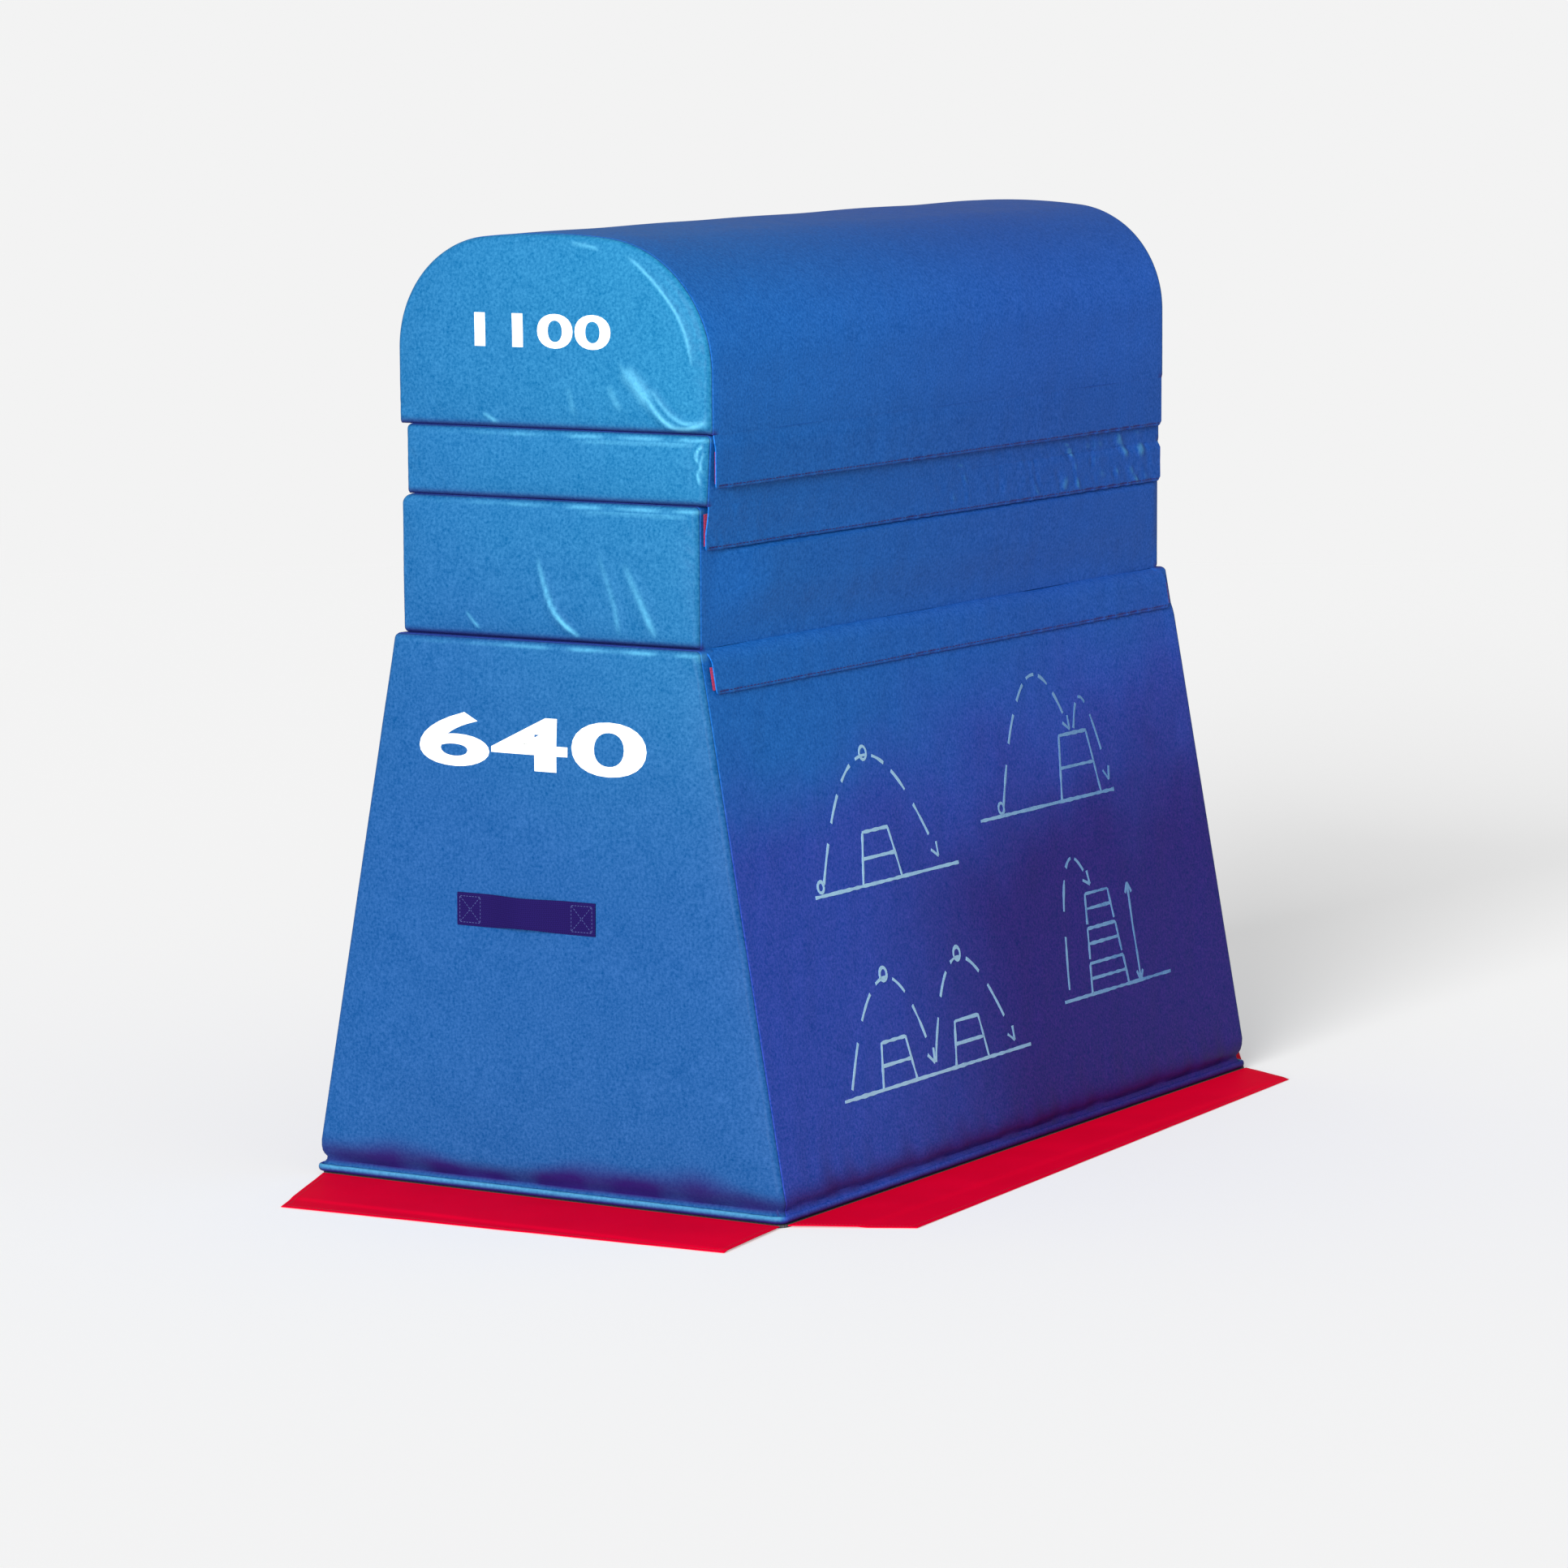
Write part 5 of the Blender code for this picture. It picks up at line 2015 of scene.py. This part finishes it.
@dataclass
class EndNumber(Part):
    """A height in millimetres, printed in plain white numerals on an end panel."""

    text: str
    block: PaddedBlock
    left: float
    right: float
    low: float
    high: float
    weight: float = 0.024
    film: float = 0.0003

    def build(self, finishes: Finishes) -> list[Piece]:
        """Set the numerals, cut them finely and lay them on the front end panel.

        Args:
            finishes: the trainer's finishes.

        Returns:
            The pieces.
        """
        deselect()
        bpy.ops.object.text_add()
        piece = bpy.context.object
        piece.data.body = self.text
        piece.data.offset = self.weight
        piece.data.space_character = 1.03
        piece.data.resolution_u = 6
        bpy.ops.object.convert(target="MESH")
        piece = bpy.context.object
        piece.name = piece.data.name = f"{self.block.name}_front_number"
        flat = vertices_of(piece)
        low, high = flat.min(0), flat.max(0)
        edit(piece)
        bpy.ops.mesh.remove_doubles(threshold=0.0001)
        for axis, slices in ((0, 44), (1, 10)):
            share = np.linspace(0.0, 1.0, slices + 1)[1:-1]
            slice_up(axis, low[axis] + (high[axis] - low[axis]) * share)
        bpy.ops.object.mode_set(mode="OBJECT")
        share = (vertices_of(piece) - low)[:, :2] / (high - low)[:2]
        y = self.left + (self.right - self.left) * share[:, 0]
        z = self.low + (self.high - self.low) * share[:, 1]
        x = self.block.end_surface(y, z, End.FRONT) - self.film * 0.6
        move_vertices(piece, np.column_stack([x, y, z]))
        piece.data.materials.clear()
        piece.data.materials.append(finishes.white_ink)
        give_film(piece, self.film)
        shade(piece)
        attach(piece, self.block.name)
        return [piece]


@dataclass
class SideDiagram(Part):
    """One thin-lined exercise diagram printed on the base's right side: blocks, floor and flight paths."""

    name: str
    base: PaddedBlock
    middle: float
    ground: float
    lines: list[list[Point]]
    width: float = 0.0038
    scale: float = 1.3
    film: float = 0.00025

    def build(self, finishes: Finishes) -> list[Piece]:
        """Draw every line as a ribbon of ink on the side.

        Args:
            finishes: the trainer's finishes.

        Returns:
            The pieces.
        """
        points, faces, total = [], [], 0
        for line in self.lines:
            run = resample(np.asarray(line) * self.scale + [self.middle, self.ground], 0.0035)
            ahead = unit(np.gradient(run, axis=0))
            across = np.stack([-ahead[:, 1], ahead[:, 0]], 1)
            uneven = 1.0 + 0.22 * drift(run[:, 0], run[:, 1], 0.018, 71)
            half = (self.width / 2 * uneven)[:, None]
            points.append(np.concatenate([run + across * half, run - across * half]))
            faces.append(strip_faces(total + np.arange(2 * len(run)).reshape(2, -1)))
            total += 2 * len(run)
        flat = np.concatenate(points)
        x, z = flat.T
        y = self.base.side_surface(x, z, Side.RIGHT) - self.film * 0.7
        piece = from_arrays(f"side_diagram_{self.name}", np.column_stack([x, y, z]),
                            np.concatenate(faces), finishes.pale_ink)
        give_film(piece, self.film)
        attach(piece, "base")
        return [piece]


def flight(start: Point, top: Point, stop: Point, dashes: int) -> list[list[Point]]:
    """A dashed arch between two points, with an arrowhead where it lands.

    Args:
        start: where it takes off.
        top: its highest point.
        stop: where it lands.
        dashes: how many dashes it has.

    Returns:
        Its lines.
    """
    share = np.linspace(0.0, 1.0, dashes * 8 + 1)
    pull = 2 * np.asarray(top) - (np.asarray(start) + np.asarray(stop)) / 2
    curve = (((1 - share) ** 2)[:, None] * start + (2 * share * (1 - share))[:, None] * pull
             + (share ** 2)[:, None] * stop)
    lines = [[tuple(p) for p in curve[k * 8:k * 8 + 6]] for k in range(dashes)]
    back = curve[-9] - curve[-1]
    back = back / np.linalg.norm(back) * 0.013
    for turn in (0.5, -0.5):
        wing = (back[0] * math.cos(turn) - back[1] * math.sin(turn),
                back[0] * math.sin(turn) + back[1] * math.cos(turn))
        lines.append([tuple(curve[-1]), (curve[-1][0] + wing[0], curve[-1][1] + wing[1])])
    return lines


def trapeze(middle: float, low: float, foot: float, crest: float, height: float) -> list[list[Point]]:
    """A block's outline standing on the ground line."""
    a, b = (middle - foot, low), (middle + foot, low)
    c, d = (middle + crest, low + height), (middle - crest, low + height)
    return [[a, d, c, b], [(middle - (foot + crest) / 2, low + height / 2),
                           (middle + (foot + crest) / 2, low + height / 2)]]


def ring(y: float, z: float, radius: float) -> Array:
    """A small circle."""
    return around(y, z, radius, np.linspace(0.0, 2 * math.pi, 25))


def diagrams(base: PaddedBlock) -> list[SideDiagram]:
    """The four diagrams on the right side, in two rows.

    Args:
        base: the block that they are printed on.

    Returns:
        The diagrams.
    """
    ground = [[(-0.115, 0.0), (0.135, 0.0)]]
    over = ground + trapeze(0.0, 0.0, 0.034, 0.022, 0.046)
    over += flight((-0.098, 0.01), (0.0, 0.112), (0.102, 0.01), 7)
    over += [ring(-0.104, 0.008, 0.005), ring(0.0, 0.114, 0.006)]
    onto = [[(-0.13, 0.0), (0.125, 0.0)]] + trapeze(0.062, 0.0, 0.038, 0.026, 0.06)
    onto += flight((-0.085, 0.008), (-0.008, 0.118), (0.058, 0.064), 6)
    onto += flight((0.066, 0.064), (0.092, 0.088), (0.118, 0.01), 3)
    onto += [ring(-0.09, 0.007, 0.005)]
    twin = [[(-0.165, 0.0), (0.17, 0.0)]] + trapeze(-0.068, 0.0, 0.03, 0.021, 0.04)
    twin += trapeze(0.062, 0.0, 0.03, 0.021, 0.04)
    twin += flight((-0.15, 0.008), (-0.068, 0.095), (-0.004, 0.01), 5)
    twin += flight((-0.002, 0.01), (0.064, 0.095), (0.142, 0.008), 5)
    twin += [ring(-0.068, 0.098, 0.006), ring(0.064, 0.098, 0.006)]
    stack = [[(-0.09, 0.0), (0.12, 0.0)]]
    for k in range(3):
        stack += trapeze(0.0, 0.032 * k, 0.036 - 0.005 * k, 0.032 - 0.005 * k, 0.028)
    stack += [[(0.06, 0.0), (0.06, 0.092)], [(0.054, 0.083), (0.06, 0.093), (0.066, 0.083)],
              [(0.054, 0.009), (0.06, 0.0), (0.066, 0.009)]]
    stack += flight((-0.078, 0.01), (-0.05, 0.12), (-0.01, 0.1), 4)
    rows = (("a", -0.245, 0.345, over), ("b", 0.165, 0.385, onto),
            ("c", -0.19, 0.115, twin), ("d", 0.245, 0.15, stack))
    return [SideDiagram(name, base, middle, low, lines) for name, middle, low, lines in rows]


# Studio


@dataclass(frozen=True)
class Camera:
    """The photograph's viewpoint."""

    azimuth: float = -58.779
    elevation: float = 7.6406
    roll: float = -0.3355
    distance: float = 7.4129
    target: tuple[float, float, float] = (0.0, 0.0251, 0.4115)
    lens: float = 140.195

    def build(self) -> Piece:
        """Place the camera and make it the scene's own.

        Returns:
            The camera.
        """
        az, el, roll = (math.radians(v) for v in (self.azimuth, self.elevation, self.roll))
        data = bpy.data.cameras.new("camera")
        data.lens, data.sensor_width, data.clip_end = self.lens, 36.0, 200.0
        camera = bpy.data.objects.new("camera", data)
        bpy.context.scene.collection.objects.link(camera)
        turn = (Matrix.Rotation(az, 4, "Z") @ Matrix.Rotation(math.pi / 2 - el, 4, "X")
                @ Matrix.Rotation(roll, 4, "Z"))
        camera.matrix_world = (Matrix.Translation(self.target) @ turn
                               @ Matrix.Translation((0.0, 0.0, self.distance)))
        bpy.context.scene.camera = camera
        return camera


@dataclass(frozen=True)
class Studio:
    """A pale floor that runs into the backdrop, one broad soft key light and a soft surround."""

    backdrop: float = 0.896
    surround: float = 0.34
    floor: float = 0.75
    glow: float = 0.36
    key_from: tuple[float, float, float] = (-3.81, -0.67, 1.04)
    key_spread: float = 28.0
    key_strength: float = 4.6

    def build(self) -> None:
        """Make the floor, the lamps and the world."""
        bpy.context.scene.view_settings.view_transform = "Standard"
        self.make_world()
        self.make_floor()
        self.make_key()

    def make_key(self) -> None:
        """The key light, which points at the trainer's foot."""
        data = bpy.data.lights.new("key", "SUN")
        data.energy = self.key_strength
        data.angle = math.radians(self.key_spread)
        lamp = bpy.data.objects.new("key", data)
        bpy.context.scene.collection.objects.link(lamp)
        lamp.location = self.key_from
        lamp.rotation_euler = (-Vector(self.key_from)).to_track_quat("-Z", "Y").to_euler()

    def make_world(self) -> None:
        """A dim grey surround that the camera sees as the pale backdrop."""
        world = bpy.data.worlds.new("surround")
        bpy.context.scene.world = world
        s = Shader("surround", world)
        dim, pale = (s.add("ShaderNodeBackground", {}, {"Color": (grey,) * 3})
                     for grey in (self.surround, self.backdrop))
        seen = s.add("ShaderNodeLightPath", {}, {}, "Is Camera Ray")
        mixed = s.add("ShaderNodeMixShader", {}, {0: seen, 1: dim, 2: pale})
        s.put(s.tree.nodes["World Output"].inputs[0], mixed)

    def make_floor(self) -> None:
        """A floor that takes soft shadows near the trainer and fades into the backdrop far off."""
        deselect()
        bpy.ops.mesh.primitive_circle_add(vertices=96, radius=10.0, fill_type="NGON")
        floor = bpy.context.object
        floor.name = floor.data.name = "floor"
        s = Shader("floor")
        away = s.add("ShaderNodeVectorMath", {"operation": "LENGTH"}, {0: s.position()}, "Value")
        floor.data.materials.append(s.finish(Base_Color=(self.floor,) * 3, Roughness=0.9,
                                             Specular_IOR_Level=0.0))
        plain = Wire(s, s.tree.nodes["Principled BSDF"].outputs[0])
        none = s.add("ShaderNodeEmission", {}, {"Strength": 0.0})
        glow = s.add("ShaderNodeEmission", {}, {"Color": (self.glow,) * 3})
        seen = s.add("ShaderNodeLightPath", {}, {}, "Is Camera Ray")
        eye = s.add("ShaderNodeMixShader", {}, {0: seen, 1: none, 2: glow})
        lit = s.add("ShaderNodeAddShader", {}, {0: plain, 1: eye})
        clear = s.add("ShaderNodeBsdfTransparent", {}, {})
        edge = s.add("ShaderNodeMixShader", {}, {0: away.stepped(3.5, 9.0), 1: lit, 2: clear})
        s.put(s.tree.nodes["Material Output"].inputs[0], edge)


# The trainer


class Trainer:
    """The whole trainer: four blocks, their flaps, the base's trim and its prints."""

    def __init__(self) -> None:
        """Settle the sizes of every block."""
        self.finishes = Finishes()
        upper = CAP_HALF - FLAP_STEP
        lower = upper - FLAP_STEP
        right, left = Side.RIGHT, Side.LEFT
        self.base = PaddedBlock(
            "base", 0.0033, BASE_TOP, 0.314, 0.205, 0.57, 0.554, 0.0036, 0.02, crown=0.0055, pad=0.026,
            top_steps=92, side_steps=84, recess=0.0025, necked=True, end_shoulder=0.007,
            drop=0.05, tuck=0.0022, rows=(0.0045, 0.009, 0.0125, 0.016, 0.02, 0.026),
            leans={right: Lean(0.006, -0.0064, 0.0058, 0.006),
                   left: Lean(0.011, 0.0086, 0.0045, 0.001, 0.018)})
        self.lower = PaddedBlock(
            "lower_riser", BASE_TOP, LOWER_RISER_TOP, lower, lower, side_steps=50,
            drop=0.05, swell=(0.008, 0.0045), shoulders={left: (0.012, 0.008)},
            leans={right: Lean(-0.0064, -0.0064, 0.004, 0.004),
                   left: Lean(0.0097, 0.0097, 0.0, 0.0, 0.018)},
            front_folds=LOWER_FOLDS, rear_folds=LOWER_REAR_FOLDS)
        self.upper = PaddedBlock(
            "upper_riser", LOWER_RISER_TOP, UPPER_RISER_TOP, upper, upper, side_steps=26,
            leans={right: Lean(-0.0015, 0.003, 0.0, 0.0), left: Lean(-0.004, -0.004, 0.0, 0.0)},
            front_folds=UPPER_FOLDS, rear_folds=UPPER_REAR_FOLDS)
        self.cap = PaddedBlock(
            "cap", UPPER_RISER_TOP, CAP_TOP, CAP_HALF, CAP_HALF, shoulder=0.14,
            crest_angle=math.radians(6.0), shoulder_steps=80, top_steps=100, side_steps=36, pitch=0.012,
            shoulders={left: (0.13, 0.134), right: (0.15, 0.13)},
            leans={right: Lean(0.0005, 0.0005, 0.0, 0.0)},
            front_folds=CAP_FOLDS, rear_folds=CAP_REAR_FOLDS)

    def straight_path(self, y: float, top: float, drop: float) -> Array:
        """A flap's outer line straight down from its hinge."""
        return np.array([[y, top], [y, top - drop / 2], [y, top - drop]])

    def bent_path(self, drop: float) -> Array:
        """The lower riser's flap, winding out round the base's shoulder and down its slope.

        Args:
            drop: how far its hem is below the base's top.

        Returns:
            Points in (y, z), from the hinge to the hem.
        """
        base = self.base
        stretch = math.hypot(1.0, base.slope)
        centre = np.array([base.half_width(base.top - base.shoulder) - base.shoulder * stretch,
                           base.top - base.shoulder])
        seam = np.array([self.lower.half_foot, self.lower.bottom]) - centre
        first, last = math.atan2(seam[1], seam[0]), math.atan2(-base.slope, 1.0)
        share = np.linspace(0.0, 1.0, 25)
        turn = first + (last - first) * share
        start = float(np.linalg.norm(seam))
        reach = start + (base.shoulder + FLAP_STEP - start) * share
        line = centre + np.stack([reach * np.cos(turn), reach * np.sin(turn)], 1)
        hem_z = base.top - drop
        hem = [base.half_width(hem_z) + FLAP_STEP * stretch, hem_z]
        return np.concatenate([line, [(line[-1] + hem) / 2], [hem]])

    def parts(self) -> list[Part]:
        """Every sub-assembly, in the order in which they are built.

        Returns:
            The blocks, the flaps, the trim and the prints.
        """
        parts = [self.base, self.lower, self.upper, self.cap]
        for side in Side:
            flaps = [
                JointFlap(self.cap, self.upper, side,
                          self.straight_path(CAP_HALF, UPPER_RISER_TOP, 0.06)),
                JointFlap(self.upper, self.lower, side,
                          self.straight_path(self.upper.half_foot, LOWER_RISER_TOP, 0.05), stick=0.001),
                JointFlap(self.lower, self.base, side, self.bent_path(0.05), tape_height=0.026,
                          stick=0.0045)]
            for flap in flaps:
                flap.half_length -= LEFT_FLAP_CUT if side is Side.LEFT else 0.0
            parts += flaps
        parts += [
            FloorFlap("front", PANEL_EDGE_X, PANEL_EDGE_Y, math.pi / 2,
                      (0.143, 0.179), (0.004, 0.0065), (-0.0155, 0.0688)),
            FloorFlap("rear", PANEL_EDGE_X, PANEL_EDGE_Y, -math.pi / 2,
                      (0.179, 0.14), (0.004, 0.0065), (-0.0155, 0.082)),
            FloorFlap("right", PANEL_EDGE_Y, PANEL_EDGE_X, math.pi,
                      (0.08, 0.1287), (0.006, 0.0107), (0.0395, 0.0653)),
            FloorFlap("left", PANEL_EDGE_Y, PANEL_EDGE_X, 0.0,
                      (0.08, 0.1287), (0.062, 0.01), (0.085, 0.04)),
            Piping(), Handle(End.FRONT, self.base), Handle(End.REAR, self.base),
            EndNumber("1100", self.cap, 0.098, -0.085, 0.9715, 1.0105),
            EndNumber("640", self.base, 0.172, -0.136, 0.4925, 0.555)]
        return parts + diagrams(self.base)

    def build(self) -> None:
        """Make every piece and report it."""
        for part in self.parts():
            report(type(part).__name__, part.build(self.finishes))
        self.dress_nodes()

    def dress_nodes(self) -> None:
        """Give the CAD nodes that stay in view their finishes."""
        dress = {"_zip_tape": self.finishes.zip_cloth, "_zip_slider": self.finishes.steel,
                 "base_bottom_panel": self.finishes.grip}
        for name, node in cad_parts.items():
            for material in (dress[ending] for ending in dress if name.endswith(ending)):
                node.data.materials.clear()
                node.data.materials.append(material)
                log.info("%s dressed", name)


def report(what: str, pieces: Sequence[Piece]) -> None:
    """Log the pieces of a sub-assembly and their faces."""
    for piece in pieces:
        log.info("%s: %s, %d faces", what, piece.name, len(piece.data.polygons))


CAP_FOLDS = (
    Fold(((-0.092, 0.962), (-0.102, 0.948), (-0.127, 0.926), (-0.139, 0.909), (-0.15, 0.895),
          (-0.164, 0.886), (-0.18, 0.885), (-0.195, 0.89), (-0.204, 0.8935)),
         0.01, 0.0034, 0.3, 1.0, 1.3),
    Fold(((-0.101, 0.952), (-0.113, 0.94), (-0.124, 0.927), (-0.133, 0.915)),
         0.026, 0.002, 0.5, 0.8, 1.0),
    Fold(((-0.134, 0.933), (-0.148, 0.915), (-0.16, 0.901), (-0.176, 0.892), (-0.193, 0.893)),
         0.0075, 0.0022, 0.35, 1.0, 0.8),
    Fold(((-0.08, 0.933), (-0.086, 0.92), (-0.093, 0.9069)), 0.013, 0.0013, 0.4, 0.8, 0.5),
    Fold(((-0.025, 0.93), (-0.029, 0.92), (-0.031, 0.9)), 0.012, 0.0009, 0.4, 0.8, 0.3),
    Fold(((0.092, 0.896), (0.08, 0.89), (0.074, 0.886)), 0.008, 0.001, 0.4, 0.9, 0.8),
    Fold(((-0.1, 1.078), (-0.117, 1.069), (-0.147, 1.043), (-0.172, 1.0115), (-0.184, 0.983),
          (-0.188, 0.96)), 0.006, 0.0009, 0.7, 0.7, 1.0),
    Fold(((-0.028, 1.09), (-0.048, 1.088), (-0.064, 1.084)), 0.006, 0.0007, 0.6, 0.9, 0.7),
)
CAP_REAR_FOLDS = (
    Fold(((0.115, 0.95), (0.135, 0.926), (0.16, 0.904), (0.196, 0.892)), 0.01, 0.0026),
    Fold(((0.13, 0.918), (0.148, 0.9), (0.172, 0.889), (0.198, 0.888)), 0.0075, 0.002),
    Fold(((-0.112, 0.926), (-0.142, 0.902), (-0.19, 0.89)), 0.009, 0.0018),
)
UPPER_FOLDS = (
    Fold(((-0.199, 0.869), (-0.19, 0.86), (-0.193, 0.85)), 0.005, 0.0016, 0.8, 0.8, 1.2),
    Fold(((-0.201, 0.862), (-0.196, 0.848), (-0.2, 0.838)), 0.0036, 0.0012, 0.8, 0.8, 0.8),
    Fold(((-0.195, 0.851), (-0.1985, 0.844), (-0.193, 0.837), (-0.197, 0.826)),
         0.0055, 0.0016, 0.8, 0.8, 0.9),
    Fold(((-0.03, 0.868), (-0.1, 0.8685), (-0.188, 0.869)), 0.006, 0.0007, 0.5, 1.0, 0.5),
)
UPPER_REAR_FOLDS = (
    Fold(((0.193, 0.866), (0.189, 0.856), (0.195, 0.846)), 0.0055, 0.0013, 0.8, 0.8, 0.8),
)
LOWER_FOLDS = (
    Fold(((0.018, 0.74), (0.008, 0.705), (-0.0028, 0.6756), (-0.0172, 0.66), (-0.033, 0.649)),
         0.0095, 0.0026, 0.15, 1.0, 1.1),
    Fold(((-0.1, 0.735), (-0.113, 0.708), (-0.1253, 0.686), (-0.1393, 0.6555)),
         0.014, 0.0019, 0.3, 1.0, 0.6),
    Fold(((-0.064, 0.745), (-0.079, 0.708), (-0.089, 0.678), (-0.0902, 0.6555)),
         0.011, 0.0012, 0.3, 0.9, 0.35),
    Fold(((0.113, 0.67), (0.108, 0.662), (0.0983, 0.651)), 0.006, 0.0009, 0.4, 0.9, 0.6),
    Fold(((-0.03, 0.788), (-0.1, 0.7885), (-0.184, 0.788)), 0.006, 0.0007, 0.4, 1.0, 0.5),
)
LOWER_REAR_FOLDS = (
    Fold(((0.05, 0.73), (0.07, 0.69), (0.1, 0.656)), 0.01, 0.0018, 0.2, 1.0, 0.6),
    Fold(((-0.12, 0.71), (-0.1, 0.68), (-0.09, 0.654)), 0.009, 0.0014, 0.2, 1.0, 0.5),
)


def main() -> None:
    """Build the studio and the trainer."""
    logging.basicConfig(level=logging.INFO, format="%(name)s: %(message)s")
    Camera().build()
    Studio().build()
    Trainer().build()
    deselect()


if __name__ == "__main__":
    main()
